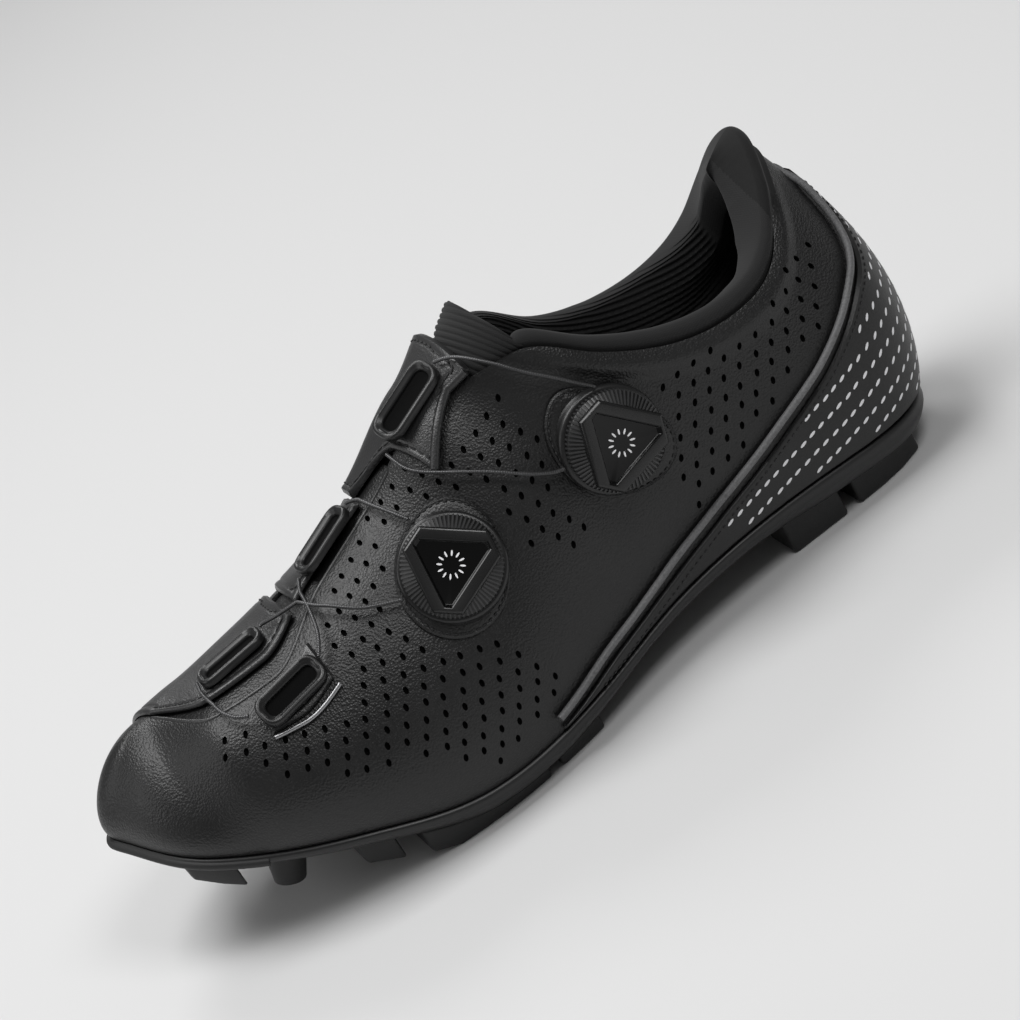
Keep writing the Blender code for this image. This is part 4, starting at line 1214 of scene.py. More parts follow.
@dataclass
class Upper:
    """The leather shell with its perforations."""

    tools: Toolbox
    column_step: float = 0.0019
    levels: int = 52
    edge_round: float = 0.00045
    band_width: float = 0.0100
    band_rise: float = 0.0014
    band_rows: Pair = (8.9, 14.4)
    punch_lean: float = 0.28

    def places(self) -> Array:
        """Ring places, the same on both sides, closer where the outline is short."""
        found = []
        for row in range(HEEL_ROW):
            reach = max(float(np.linalg.norm(SKIN.feather(place + 1.0) - SKIN.feather(place)))
                        for place in (float(row), RING - row - 1.0))
            steps = max(8, round(reach / self.column_step))
            found += [row + k / steps for k in range(steps)]
        outer = np.array(found)
        return np.concatenate([outer, [float(HEEL_ROW)], RING - outer[:0:-1]])

    def build(self) -> None:
        """Makes the shell and punches it."""
        places = self.places()
        shares = np.linspace(0, 1, self.levels + 1)
        grid = SKIN.rib(places[:, None], shares[None, :])
        below = np.linalg.norm(grid - grid[:, -1:], axis=-1)
        rows = row_of(places)
        strength = ramp(rows, self.band_rows[0], 0.6) * ramp(-rows, -self.band_rows[1], 1.0)
        swell = self.band_rise * np.sin(math.pi * ramp(below, 0, self.band_width)) ** 1.3 * strength[:, None]
        grid = grid + SKIN.ring_normal(places[:, None], shares[None, :]) * swell[..., None]
        piece = sheet("upper_leather", grid, wrap=True)
        give_wall(piece, UPPER_WALL)
        soften(piece, self.edge_round, 2, 50.0)
        bake_modifiers(piece)
        piece.data.materials.append(LEATHER.material())
        # The cut walls of the perforations take the punches' very dark finish: painted shade in the holes.
        cut_away(piece, self.cutter(), "MANIFOLD", keep_material=True)
        dress(piece, LEATHER, ["upper"], 42.0)

    def cutter(self) -> Object:
        """All the punches as one body."""
        rows = np.linspace(2.6, 14.4, 473)
        shares = np.linspace(0.02, 0.995, 196)
        flat = SKIN.rib(rows[:, None], shares[None, :])
        height = np.array([run_length(line) for line in flat]) / MM
        along = (flat[..., 0] - SKIN.origin[0]) / MM
        spots = []
        for zone in PUNCH_ZONES:
            for x, up in self.lattice(zone):
                miss = (along - x) ** 2 + (height - up) ** 2
                i, j = np.unravel_index(int(np.argmin(miss)), miss.shape)
                spots.append((rows[i], shares[j]))
        places = np.array(spots)
        both = np.concatenate([places[:, 0], RING - places[:, 0]])
        heights = np.concatenate([places[:, 1], places[:, 1]])
        flat, out = SKIN.ring_laid(both, heights)
        points = flat + out * (PUNCH_RISE - PUNCH_DEPTH) / 2
        ahead = unit(SKIN.rib(both + 0.03, heights) - SKIN.rib(both - 0.03, heights))
        ahead[len(places):] *= -1
        above = np.cross(out, ahead) * np.where(np.arange(len(both)) < len(places), 1, -1)[:, None]
        lean = unit(self.punch_lean * ahead + above)
        size = (*PUNCH_SIZE, PUNCH_RISE + PUNCH_DEPTH)
        return self.tools.inlay("punches", points, out, lean, size, HOLLOW_SHADE)

    @staticmethod
    def lattice(zone: PunchZone) -> list[Pair]:
        """Places of a zone's perforations.

        Args:
            zone: the field.

        Returns:
            Places as x and height in millimetres.
        """
        found = []
        (x0, up0), (x_along, up_along), (x_step, up_step) = zone.start, zone.along, zone.step
        for i, j in product(range(-30, 31), repeat=2):
            shift = (i % 2) * (x_step - x_along / 2) if zone.bend else 0.0
            x = x0 + j * x_along + i * x_step - shift
            up = up0 + j * up_along + i * up_step
            up -= zone.bend * ((x - PUNCH_BEND_FROM) ** 2 - (x0 - PUNCH_BEND_FROM) ** 2)
            if inside(zone.corners, x, up) and clear_of_dials(x, up):
                found.append((x, up))
        return found


def inside(corners: Sequence[Pair], x: float, y: float) -> bool:
    """Whether a place lies inside a polygon."""
    hit = False
    for (x0, y0), (x1, y1) in zip(corners, [*corners[1:], corners[0]]):
        if (y0 > y) != (y1 > y) and x < (x1 - x0) * (y - y0) / (y1 - y0) + x0:
            hit = not hit
    return hit


class DialSpot(NamedTuple):
    """A lace dial's place on the outer rib, and the turn of its cap in degrees."""

    name: str
    row: float
    across: float
    turn: float


DIALS = (DialSpot("front", 7.06, 0.630, -27.0), DialSpot("rear", 9.32, 0.617, 5.0))
DIAL_CLEARANCE = 20.5


def clear_of_dials(x: float, up: float) -> bool:
    """Whether a perforation stays off the dials' stitched pads."""
    for dial in DIALS:
        middle = (float(SKIN.flat(dial.row, dial.across)[0]) - SKIN.origin[0]) / MM
        height = run_length(SKIN.rib(np.full(60, dial.row), np.linspace(0.02, dial.across, 60)))[-1] / MM
        if math.hypot(x - middle, up - height) < DIAL_CLEARANCE:
            return False
    return True


# The strap's rows, its corner's row, the shares across of its outer and inner ends
STRAP_ROWS = (6.96, 8.58)
STRAP_CORNER_ROW = 7.58
STRAP_OUTER = (0.82, 1.05)
STRAP_INNER = 2.0 + 5 / 8
STRAP_TURN_FROM = 1.45
WING_INNER = 2.5
TAB_ROWS = (4.62, 5.58)
TAB_ACROSS = (0.72, 0.19)


@dataclass
class Layers:
    """Strap, wings and outer tab: leather layers over the upper."""

    tools: Toolbox
    seam_in: float = 0.0026
    seam_wide: float = 0.00055
    seam_deep: float = 0.00028
    edge_round: float = 0.0011
    stitch_rise: float = 0.00012
    strap_puff: float = 0.0020
    puff_span: Pair = (1.28, 0.95)
    lip_radius: float = 0.0007
    fold_radius: float = 0.0014
    apron_rows: Pair = (3.10, 7.35)
    apron_across: Pair = (1.035, 0.93)
    apron_back: float = 0.0019

    def layer(self, name: str, place: Callable[[Array, Array], Places],
              wall: float, stands_for: str, seams: Sequence[str], columns: int, levels: int,
              puff: float = 0.0) -> None:
        """One leather layer with rounded edges, pressed seams and stitches.

        Args:
            name: the piece's name.
            place: gives rows and shares across for shares along and across the layer.
            wall: its thickness.
            stands_for: the CAD node that it replaces.
            seams: the sides that are stitched, among front, rear, low and high.
            columns: points along.
            levels: points across.
            puff: extra thickness over the crown.
        """
        u, v = np.meshgrid(np.linspace(0, 1, columns), np.linspace(0, 1, levels), indexing="ij")
        rows, across = place(u, v)
        base, out = SKIN.laid(rows, across)
        distance = edge_distance(base)
        thick = wall * rounded(distance, self.edge_round)
        thick -= self.seam_deep * np.exp(-((distance - self.seam_in) / self.seam_wide) ** 2)
        thick += puff * np.sin(math.pi * ramp(across, *self.puff_span)) ** 2
        top = base + out * (LAYER_GAP + thick)[..., None]
        bottom = base + out * LAYER_GAP
        piece = shell(name, top, bottom)
        # The layer takes the lighter copy of the leather: painted light on the raised layers.
        dress(piece, LIT_LEATHER, [stands_for])
        runs = [self.seam(top, out, distance, side) for side in seams]
        if runs:
            self.tools.stitch(name + "_stitches", runs)

    def seam(self, top: Array, out: Array, distance: Array, side: str) -> Array:
        """The line along one side where the seam's groove is deepest.

        Args:
            top: points of the layer's face.
            out: ways out of it.
            distance: how far each point lies from the layer's edge.
            side: front, rear, low or high.

        Returns:
            The line's points, a little above the face.
        """
        grid, ways, span = top, out, distance
        if side in ("front", "rear"):
            grid, ways, span = top.transpose(1, 0, 2), out.transpose(1, 0, 2), distance.T
        if side in ("high", "rear"):
            grid, ways, span = grid[:, ::-1], ways[:, ::-1], span[:, ::-1]
        line = []
        half = span.shape[1] // 2
        for points, way, far in zip(grid, ways, span):
            if far[:half].max() < self.seam_in:
                continue
            k = int(np.argmin(np.abs(far[:half] - self.seam_in)))
            line.append(points[k] + way[k] * self.stitch_rise)
        return np.array(line)

    def build(self) -> None:
        """Makes the layers."""
        self.layer("strap_leather", self.strap, STRAP_WALL, "instep_strap", ("low", "front", "rear"), 70, 150,
                   self.strap_puff)
        self.layer("wing_front_leather", self.wing(3.08, 5.62, 1.22, 1.20), WING_WALL, "wing_front",
                   ("low", "rear"), 90, 110)
        self.layer("wing_rear_leather", self.wing(5.74, 6.92, 1.22, 1.12), WING_WALL, "wing_rear",
                   ("low",), 50, 110)
        self.layer("tab_leather", self.tab, WING_WALL, "lateral_tab", ("high", "front", "rear"), 40, 24)
        u = np.linspace(0.0, 1.0, 160)
        self.bead("throat_lip", 3.12 + 4.2 * u, np.full(160, 0.990), self.lip_radius, -0.0003)
        rows, across = self.strap(0.02 + 0.96 * u, np.full(160, 0.006))
        self.bead("strap_fold", rows, across, self.fold_radius, LAYER_GAP + 0.0013)
        self.apron()

    @staticmethod
    def bead(name: str, rows: Array, across: Array, radius: float, lift: float) -> None:
        """A rolled leather edge along a line of places.

        Args:
            name: the piece's name.
            rows: rows of the line.
            across: its shares across.
            radius: of the roll.
            lift: of its middle above the skin.
        """
        # The rolled edge takes the lighter copy of the leather: painted light.
        dress(path_tube(name, SKIN.point(rows, across, lift), radius, 14), LIT_LEATHER)

    def apron(self) -> None:
        """The leather facing of the tongue, seen between the throat's lips and the wings."""
        u, v = np.meshgrid(np.linspace(0, 1, 240), np.linspace(0, 1, 60), indexing="ij")
        first, last = self.apron_rows
        low, span = self.apron_across
        base, out = SKIN.laid(first + (last - first) * u, low + span * v)
        dip = 0.0006 + 0.0005 * np.exp(-(edge_distance(base) / 0.0030) ** 2)
        dress(shell("tongue_apron", base - out * dip[..., None], base - out * self.apron_back), LEATHER)

    @staticmethod
    def strap(u: Array, v: Array) -> Places:
        """Places on the instep strap, whose front edge turns back toward its outer end."""
        edge = STRAP_OUTER[0] + (STRAP_OUTER[1] - STRAP_OUTER[0]) * u
        across = edge + (STRAP_INNER - edge) * v
        turn = np.maximum(0.0, (STRAP_TURN_FROM - across) / (STRAP_TURN_FROM - STRAP_OUTER[0]))
        shift = (STRAP_CORNER_ROW - STRAP_ROWS[0]) * np.sin(0.5 * math.pi * turn) * (1 - u)
        return STRAP_ROWS[0] + (STRAP_ROWS[1] - STRAP_ROWS[0]) * u + shift, across

    @staticmethod
    def wing(start: float, stop: float, low: float, high: float) -> Callable[..., Places]:
        """A wing's places: rows from start to stop, with its outer edge from low to high."""
        def place(u: Array, v: Array) -> Places:
            """Rows and shares across."""
            edge = low + (high - low) * u
            return start + (stop - start) * u, edge + (WING_INNER - edge) * v
        return place

    @staticmethod
    def tab(u: Array, v: Array) -> Places:
        """Places on the outer tab."""
        return TAB_ROWS[0] + (TAB_ROWS[1] - TAB_ROWS[0]) * u, TAB_ACROSS[0] + TAB_ACROSS[1] * v


@dataclass
class Tongue:
    """The tongue: smooth under the throat, ribbed knit where it stands out of the collar."""

    knots: tuple[Triple, ...] = (
        (3.60, 0.875, -2.4), (5.20, 0.875, -2.4), (6.80, 0.875, -2.4), (8.10, 0.89, -2.4), (8.50, 0.93, -2.5),
        (8.76, 0.955, -2.4), (8.95, 0.975, -2.2), (9.08, 0.990, -1.5), (9.17, 1.005, -0.8))
    rib_pitch: float = 0.00195
    rib_depth: float = 0.00042
    rib_slope: float = 0.10
    knit_from: float = 8.30
    crown: float = 0.0022
    crown_from: float = 8.4
    dip: float = 0.21
    dip_from: float = 8.3
    edge_round: float = 0.0022

    def build(self) -> None:
        """Makes the tongue."""
        line = smooth_route(self.knots, 420)
        rows, edges, lifts = line[:, 0:1], line[:, 1:2], line[:, 2:3] * MM
        v = np.linspace(0, 1, 90)[None, :]
        across = edges + (3 - 2 * edges) * v
        rows = rows - self.dip * np.sin(math.pi * v) ** 0.8 * ramp(rows, self.dip_from, 0.6)
        knit = ramp(rows, self.knit_from, 0.1)
        base, out = SKIN.laid(rows, across)
        puff = self.crown * np.sin(math.pi * v) ** 0.7 * ramp(rows, self.crown_from, 0.3)
        middle = base + out * (lifts + puff)[..., None]
        along = run_length(middle[:, v.shape[1] // 2])[:, None]
        aside = np.cumsum(np.linalg.norm(np.diff(middle, axis=1, prepend=middle[:, :1]), axis=-1), axis=1)
        phase = 2 * math.pi * (along + self.rib_slope * aside) / self.rib_pitch
        wave = (0.5 - 0.5 * np.cos(phase)) ** 2
        thick = TONGUE_WALL * rounded(edge_distance(middle), self.edge_round, 0.15)
        relief = (self.rib_depth * wave * knit)[..., None]
        top = middle - out * ((TONGUE_WALL - thick) * 0.5)[..., None] - out * relief
        bottom = middle - out * ((TONGUE_WALL + thick) * 0.5)[..., None] + out * relief
        dress(shell("tongue_knit", top, bottom), KNIT, ["tongue"], 60.0)


@dataclass
class Collar:
    """The padded roll round the collar, ribbed inside and brushed at the heel."""

    start: float = 9.06
    profile: tuple[Pair, ...] = (
        (-6.0, -2.15), (-1.5, -2.15), (0.3, -1.5), (2.0, -0.7), (3.9, -0.9), (5.3, -2.2), (5.5, -3.9),
        (4.4, -5.6), (1.8, -6.7), (-2.0, -7.1), (-8.0, -7.0), (-15.0, -6.4), (-22.0, -5.3), (-28.0, -3.8),
        (-31.0, -2.5), (-30.0, -2.15), (-18.0, -2.15))
    seat: float = -2.15
    heel_pad: float = 0.0075
    heel_pad_from: float = 11.2
    wrap: float = 0.0029
    wrap_from: float = 12.4
    inner_low: float = 0.35
    inner_low_to: float = 13.2
    end_puff: float = 0.55
    suede_from: float = 0.112
    rib_line: int = 88
    rib_pitch: float = 0.0022
    rib_depth: float = 0.0007
    rib_slope: float = 0.22
    brushed_from: float = 12.7

    def build(self) -> None:
        """Makes the roll."""
        places = np.linspace(self.start, RING - self.start, 470)
        loop = smooth_route([*self.profile, self.profile[0]], 191)[:-1] * MM
        up, side = loop[:, 0], loop[:, 1]
        spans = np.linalg.norm(SKIN.top(places) - SKIN.feather(places), axis=-1)[:, None] * 1.08
        share = 1 + np.minimum(up[None, :], 0.0) / spans
        base, out = SKIN.ring_laid(places[:, None], share)
        rise = SKIN.rise(places)[:, None, :]
        beyond = np.maximum(up, 0.0)[None, :, None]
        rows = row_of(places)
        puff = rounded(np.minimum(places - self.start, RING - self.start - places), 0.25, self.end_puff)
        low_side = self.inner_low + (1 - self.inner_low) * ramp(rows, self.inner_low_to, 1.6)
        heel = np.where(places > HEEL_ROW, low_side, 1.0)
        depth = self.seat * MM + (side[None, :] - self.seat * MM) * puff[:, None]
        pad = ramp(-side / MM, 3.0, 2.5) * ramp(up / MM, -20.0, 10.0)
        depth = depth - self.heel_pad * pad[None, :] * ramp(rows, self.heel_pad_from, 1.6)[:, None]
        outside = ramp(side / MM, -3.2, 1.0) * ramp(up / MM, -6.0, 1.0)
        depth = depth + self.wrap * outside[None, :] * ramp(rows, self.wrap_from, 1.3)[:, None]
        points = base + rise * beyond * (puff * heel)[:, None, None] + out * depth[..., None]
        along = run_length(points[:, self.rib_line])
        knit = ramp(-rows, -self.brushed_from, 0.25)[:, None] * ramp(-side[None, :] / MM, 4.0, 1.2)
        slope = np.where(places < HEEL_ROW, 1, -1) * self.rib_slope
        phase = (up[None, :] + (slope * along)[:, None]) / self.rib_pitch
        wave = 0.5 - 0.5 * np.cos(2 * math.pi * phase)
        points = points + out * (self.rib_depth * wave * knit)[..., None]
        piece = turned("collar_lining", points)
        piece.data.materials.append(LINING.material())
        piece.data.materials.append(SUEDE.material())
        for face in piece.data.polygons:
            face.material_index = int(face.center.x > self.suede_from + SKIN.origin[0])
        dress(piece, LINING, ["collar_pad"], 60.0)


@dataclass
class HeelCounter:
    """The panel round the heel with its reflective dashes, and the grey tape along its edge."""

    tools: Toolbox
    dash_size: Triple = (0.0026, 0.0009, 0.00016)
    dash_row_step: float = 0.0050
    dash_step: float = 0.0039
    dash_slope: float = 0.17
    dash_lean: float = 0.25
    dash_rows: int = 26
    dash_low: float = 0.014
    dash_foot: float = 0.045
    dash_edge: float = 0.075
    dash_miss: float = 0.001
    dash_end: float = 0.0016
    edge_round: float = 0.0009
    tape_end: float = 14.86
    tape_sink: float = 0.0030
    tape_sink_from: float = 14.55
    seam_share: float = 2.4

    @staticmethod
    def edge(rows: Array) -> Array:
        """Share up the rib of the panel's edge."""
        places, shares = zip(*COUNTER_EDGE)
        return sum(np.interp(rows + shift, places, shares) for shift in np.linspace(-0.4, 0.4, 9)) / 9

    def build(self) -> None:
        """Makes panel, dashes, tape and stitches."""
        self.panel()
        self.dashes()
        for name, inner_side in (("piping_lateral", False), ("piping_medial", True)):
            self.tape(name, inner_side)

    def panel(self) -> None:
        """The panel's body."""
        first = COUNTER_EDGE[0][0]
        places = np.linspace(first, RING - first, 640)
        rows = row_of(places)
        back = np.where(rows < HEEL_ROW - 0.01, PIPING_BACK, 0.0)
        top = np.maximum(self.edge(rows - back) - PIPING_SHARE, COUNTER_FOOT * 1.5)
        v = np.linspace(0, 1, 44)[None, :]
        shares = COUNTER_FOOT + (top[:, None] - COUNTER_FOOT) * v
        base, out = SKIN.ring_laid(places[:, None], shares)
        thick = COUNTER_WALL * rounded(edge_distance(base), self.edge_round)
        piece = shell("heel_panel", base + out * (LAYER_GAP + thick)[..., None], base + out * LAYER_GAP)
        dress(piece, COUNTER, ["heel_counter"])

    def dashes(self) -> None:
        """Slanted rows of short reflective dashes on both sides of the panel."""
        found: list[tuple[Array, Array, Array]] = []
        for inner_side in (False, True):
            found += self.side_dashes(inner_side)
        points, ways, leans = (np.array(values) for values in zip(*found))
        piece = self.tools.inlay("counter_dashes", points, ways, leans, self.dash_size, PRINT, 10)
        dress(piece, PRINT)

    def side_dashes(self, inner_side: bool) -> list[tuple[Array, Array, Array]]:
        """The dashes of one side.

        Args:
            inner_side: whether it is the inner side.

        Returns:
            For each dash its middle, the way out and the way along it.
        """
        found = []
        rows, shares = np.linspace(8.2, 15.0, 341), np.linspace(0.03, 0.9, 176)
        places = RING - rows if inner_side else rows
        flat, out = SKIN.ring_laid(places[:, None], shares[None, :])
        ahead = unit(np.gradient(flat, axis=0))
        along = run_length(flat[:, 20])
        room = self.edge(rows) - self.dash_edge
        for k in range(self.dash_rows):
            start = (k % 2) * self.dash_step / 2
            for s in np.arange(start, along[-1] - self.dash_end, self.dash_step):
                i = int(np.searchsorted(along, s))
                want = self.dash_low + k * self.dash_row_step + self.dash_slope * (s - along[-1])
                j = int(np.argmin(np.abs(flat[i, :, 2] - want)))
                missed = abs(flat[i, j, 2] - want) > self.dash_miss
                if missed or not self.dash_foot < shares[j] < room[i]:
                    continue
                lean = unit(ahead[i, j] + np.array([0, 0, self.dash_slope + self.dash_lean]))
                found.append((flat[i, j] + out[i, j] * (LAYER_GAP + COUNTER_WALL), out[i, j], lean))
        return found

    def tape(self, name: str, inner_side: bool) -> None:
        """The grained tape along the panel's edge, with the seam behind it.

        Args:
            name: the CAD node that it replaces.
            inner_side: whether it is on the inner side.
        """
        rows = np.linspace(COUNTER_EDGE[0][0], self.tape_end, 260)
        places = RING - rows if inner_side else rows
        sink = self.tape_sink * ramp(rows, self.tape_sink_from, 0.30) ** 2
        share = self.edge(rows) + PIPING_SHARE
        points = SKIN.ring_point(places, share, LAYER_GAP + PIPING_RADIUS - sink)
        dress(path_tube(name + "_tape", points, PIPING_RADIUS, 14), TAPE, [name])
        share = np.maximum(self.edge(rows[20:] - PIPING_BACK) - PIPING_SHARE * self.seam_share, 0.02)
        seam = SKIN.ring_point(places[20:], share, LAYER_GAP + COUNTER_WALL + 0.0001)
        self.tools.stitch(name + "_seam", [seam], 0.0022, 0.0013, 0.00026)


# Sole


@dataclass
class Sole:
    """Sole plate, lugs, studs and screws."""

    column_step: float = 0.0022
    profile: tuple[Pair, ...] = (
        (0.0, 0.0), (0.35, 0.03), (0.8, 0.10), (1.0, 0.20), (1.0, 0.38), (0.7, 0.48), (0.1, 0.60),
        (-1.0, 0.78), (-2.2, 0.93), (-3.2, 1.0))
    rib_radius: float = 0.0009
    arc_radii: tuple[float, ...] = (0.040, 0.0435)
    arc_back: float = 0.014
    arc_squash: float = 0.72
    waist_ribs: tuple[Pair, ...] = ((-0.021, -0.013), (0.019, 0.014), (-0.004, -0.002))
    waist_along: Pair = (0.50, 0.735)
    rim_radius: float = 0.0014
    rim_out: float = 0.0006
    rim_drop: float = 0.45
    rim_reach: float = 3.4
    weave_along: Pair = (0.24, 0.70)
    weave_side: float = 0.024

    @staticmethod
    def plate_depth(x: Array) -> Array:
        """Depth of the plate below the feather line."""
        stations = [along_shoe(along) for along, _ in PLATE_DEPTH]
        return np.interp(x, stations, [depth for _, depth in PLATE_DEPTH])

    def build(self) -> None:
        """Makes the plate and dresses the tread."""
        self.plate()
        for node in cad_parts:
            if "lug" in node:
                self.softened(node, 0.0011, RUBBER)
            if node.startswith("toe_stud"):
                self.softened(node, 0.0006, RUBBER)
            if node.startswith("cleat_screw"):
                self.screw(node)

    def plate(self) -> None:
        """The nylon plate with its rolled edge and cleat slots."""
        half = []
        for row in range(HEEL_ROW):
            reach = float(np.linalg.norm(SKIN.feather(row + 1.0) - SKIN.feather(float(row))))
            steps = max(10, round(reach / self.column_step))
            half += [row + k / steps for k in range(steps)]
        outer = np.array([*half, float(HEEL_ROW)])
        sides = []
        for places in (outer, RING - outer):
            foot = SKIN.feather(places)
            out = SKIN.outward(places)
            levels = []
            for side, drop in self.profile:
                point = foot + out * side * MM
                point[:, 2] -= SEAM_GAP + drop * self.plate_depth(foot[:, 0])
                levels.append(point)
            sides.append(np.array(levels))
        low_out, low_in = sides[0][-1], sides[1][-1]
        spans = np.linspace(0, 1, 15)[1:-1]
        under = np.array([low_out * (1 - t) + low_in * t for t in spans])
        high_out, high_in = sides[0][0], sides[1][0]
        over = np.array([high_in * (1 - t) + high_out * t for t in spans])
        loop = np.concatenate([sides[0], under, sides[1][::-1], over])
        piece = sheet("sole_plate_nylon", loop, wrap=True)
        piece.data.materials.append(NYLON.material())
        piece.data.materials.append(WEAVE.material())
        self.cut_slots(piece)
        self.paint_weave(piece)
        dress(piece, NYLON, ["sole_plate"], 50.0)
        self.ribs(piece)
        self.toe_rim()

    @staticmethod
    def cleat_place() -> Pair:
        """The middle of the cleat's place, as x and y."""
        return along_shoe(CLEAT_ALONG), CLEAT_SIDE + SKIN.origin[1]

    def ribs(self, plate: Object) -> None:
        """Raised ribs under the forefoot and the waist.

        Args:
            plate: the sole plate that they stand on.
        """
        x0, y0 = self.cleat_place()
        turn = np.radians(np.linspace(118, 242, 60))
        runs = [[(x0 + self.arc_back + radius * math.cos(a), y0 + self.arc_squash * radius * math.sin(a))
                 for a in turn] for radius in self.arc_radii]
        first, last = self.waist_along
        for start, stop in self.waist_ribs:
            runs.append([(along_shoe(t), y0 + start + (stop - start) * (t - first) / (last - first))
                         for t in np.linspace(first, last, 50)])
        for number, run in enumerate(runs):
            hits = [plate.ray_cast(Vector((x, y, -0.05)), Vector((0, 0, 1))) for x, y in run]
            points = np.array([place for hit, place, _, _ in hits if hit])
            dress(path_tube(f"sole_rib_{number + 1}", points, self.rib_radius, 10), NYLON)

    def toe_rim(self) -> None:
        """The rubber rim round the toe."""
        places = np.linspace(-self.rim_reach, self.rim_reach, 180)
        foot = SKIN.feather(places)
        points = foot + SKIN.outward(places) * self.rim_out
        points[:, 2] -= SEAM_GAP + self.rim_drop * self.plate_depth(foot[:, 0])
        dress(path_tube("toe_rim", points, self.rim_radius, 12), RUBBER)

    def cut_slots(self, piece: Object) -> None:
        """Cuts the two cleat slots."""
        x0, y0 = self.cleat_place()
        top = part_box("cleat_screw_1")[1].z + 2 * SEAM_GAP
        straight = (SLOT_LENGTH - SLOT_WIDTH) / 2
        angle = turns(32)
        push = np.where(np.cos(angle) > 0, straight, -straight)
        for side in (-1, 1):
            outline = np.stack([x0 + push + SLOT_WIDTH / 2 * np.cos(angle),
                                y0 + side * SLOT_SPACING / 2 + SLOT_WIDTH / 2 * np.sin(angle)], -1)
            cut_away(piece, prism("slot_tool", outline, -0.005, top), "EXACT")

    def paint_weave(self, piece: Object) -> None:
        """Gives the middle of the underside its laid fibre weave."""
        low, high = self.weave_along
        for face in piece.data.polygons:
            middle = face.center
            share = (middle.x - SKIN.origin[0]) / LENGTH + 0.5
            beside = abs(middle.y - SKIN.origin[1])
            if face.normal.z < -0.8 and low < share < high and beside < self.weave_side:
                face.material_index = 1

    @staticmethod
    def softened(node: str, width: float, finish: Finish) -> None:
        """A CAD piece with rounded edges.

        Args:
            node: the node to replace.
            width: size of the rounding.
            finish: its finish.
        """
        piece = placed(node + "_moulded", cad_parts[node].data.copy())
        piece.data.materials.clear()
        weld(piece)
        with editing(piece) as bm:
            bmesh.ops.remove_doubles(bm, verts=bm.verts, dist=1e-5)
            bmesh.ops.dissolve_limit(bm, angle_limit=math.radians(1.0), verts=bm.verts, edges=bm.edges)
        soften(piece, width, 3, 32.0)
        bake_modifiers(piece)
        dress(piece, finish, [node], 40.0)

    @staticmethod
    def screw(node: str) -> None:
        """A cleat screw: a domed ring round a hexagon socket."""
        low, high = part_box(node)
        middle = (low + high) / 2
        radius = (high.y - low.y) / 2
        around = turns(24)
        profile = ((0.98, 0.0, 0), (1.0, 0.0004, 0), (0.94, 0.0011, 0), (0.80, 0.0015, 0), (0.62, 0.0015, 0),
                   (0.52, 0.0013, 1), (0.50, -0.0002, 1))
        rings = []
        for share, drop, hexed in profile:
            flat = math.cos(math.pi / 6) / np.cos((around % (math.pi / 3)) - math.pi / 6) if hexed else 1.0
            reach = radius * share * flat
            rings.append(np.stack([middle.x + reach * np.cos(around), middle.y + reach * np.sin(around),
                                   np.full(24, high.z - 0.0004 - drop)], -1))
        dress(turned(node + "_steel", rings), DARK_STEEL, [node], 30.0)


# Lacing


class GuideSpot(NamedTuple):
    """A wire guide's place and size."""

    name: str
    row: float
    across: float
    turn: float
    length: float
    width: float
    wall_below: float


GUIDES = (
    GuideSpot("guide_strap", 7.96, 1.12, 14, 0.0250, 0.0120, STRAP_WALL),
    GuideSpot("guide_rear", 6.42, 1.225, 0, 0.0225, 0.0105, WING_WALL),
    GuideSpot("guide_front", 4.71, 1.480, 0, 0.0225, 0.0105, WING_WALL),
    GuideSpot("guide_lateral", 5.10, 0.835, 0, 0.0230, 0.0105, WING_WALL),
)
WIRES = {
    "wire_rear_upper": ((8.44, 1.22, 4.4), (8.58, 1.16, 4.4), (8.78, 1.04, 4.6), (9.02, 0.93, 4.5),
                        (9.30, 0.865, 4.4), (9.50, 0.838, 4.2)),
    "wire_rear_lower": ((7.475, 0.985, 4.4), (7.47, 0.90, 4.3), (7.60, 0.82, 4.0), (7.87, 0.73, 3.8),
                        (8.17, 0.660, 3.8), (8.46, 0.625, 3.6), (8.64, 0.614, 3.5)),
    "wire_front_upper": ((6.86, 1.17, 4.0), (6.93, 1.06, 4.0), (6.99, 0.94, 3.8), (7.10, 0.818, 3.4)),
    "wire_guide_cross": ((5.96, 1.16, 4.0), (5.90, 1.05, 4.2), (5.84, 0.939, 4.2), (5.74, 0.85, 4.2),
                         (5.59, 0.802, 4.0)),
    "wire_cross": ((5.285, 1.465, 3.9), (5.36, 1.42, 4.0), (5.59, 1.196, 4.2), (5.84, 0.955, 4.2),
                   (6.01, 0.853, 4.2), (6.22, 0.76, 3.9), (6.52, 0.685, 3.4)),
    "wire_toe_turn": ((4.50, 0.840, 4.0), (4.32, 0.88, 4.0), (4.16, 0.98, 4.0), (4.03, 1.20, 4.0),
                      (4.05, 1.44, 4.0)),
}


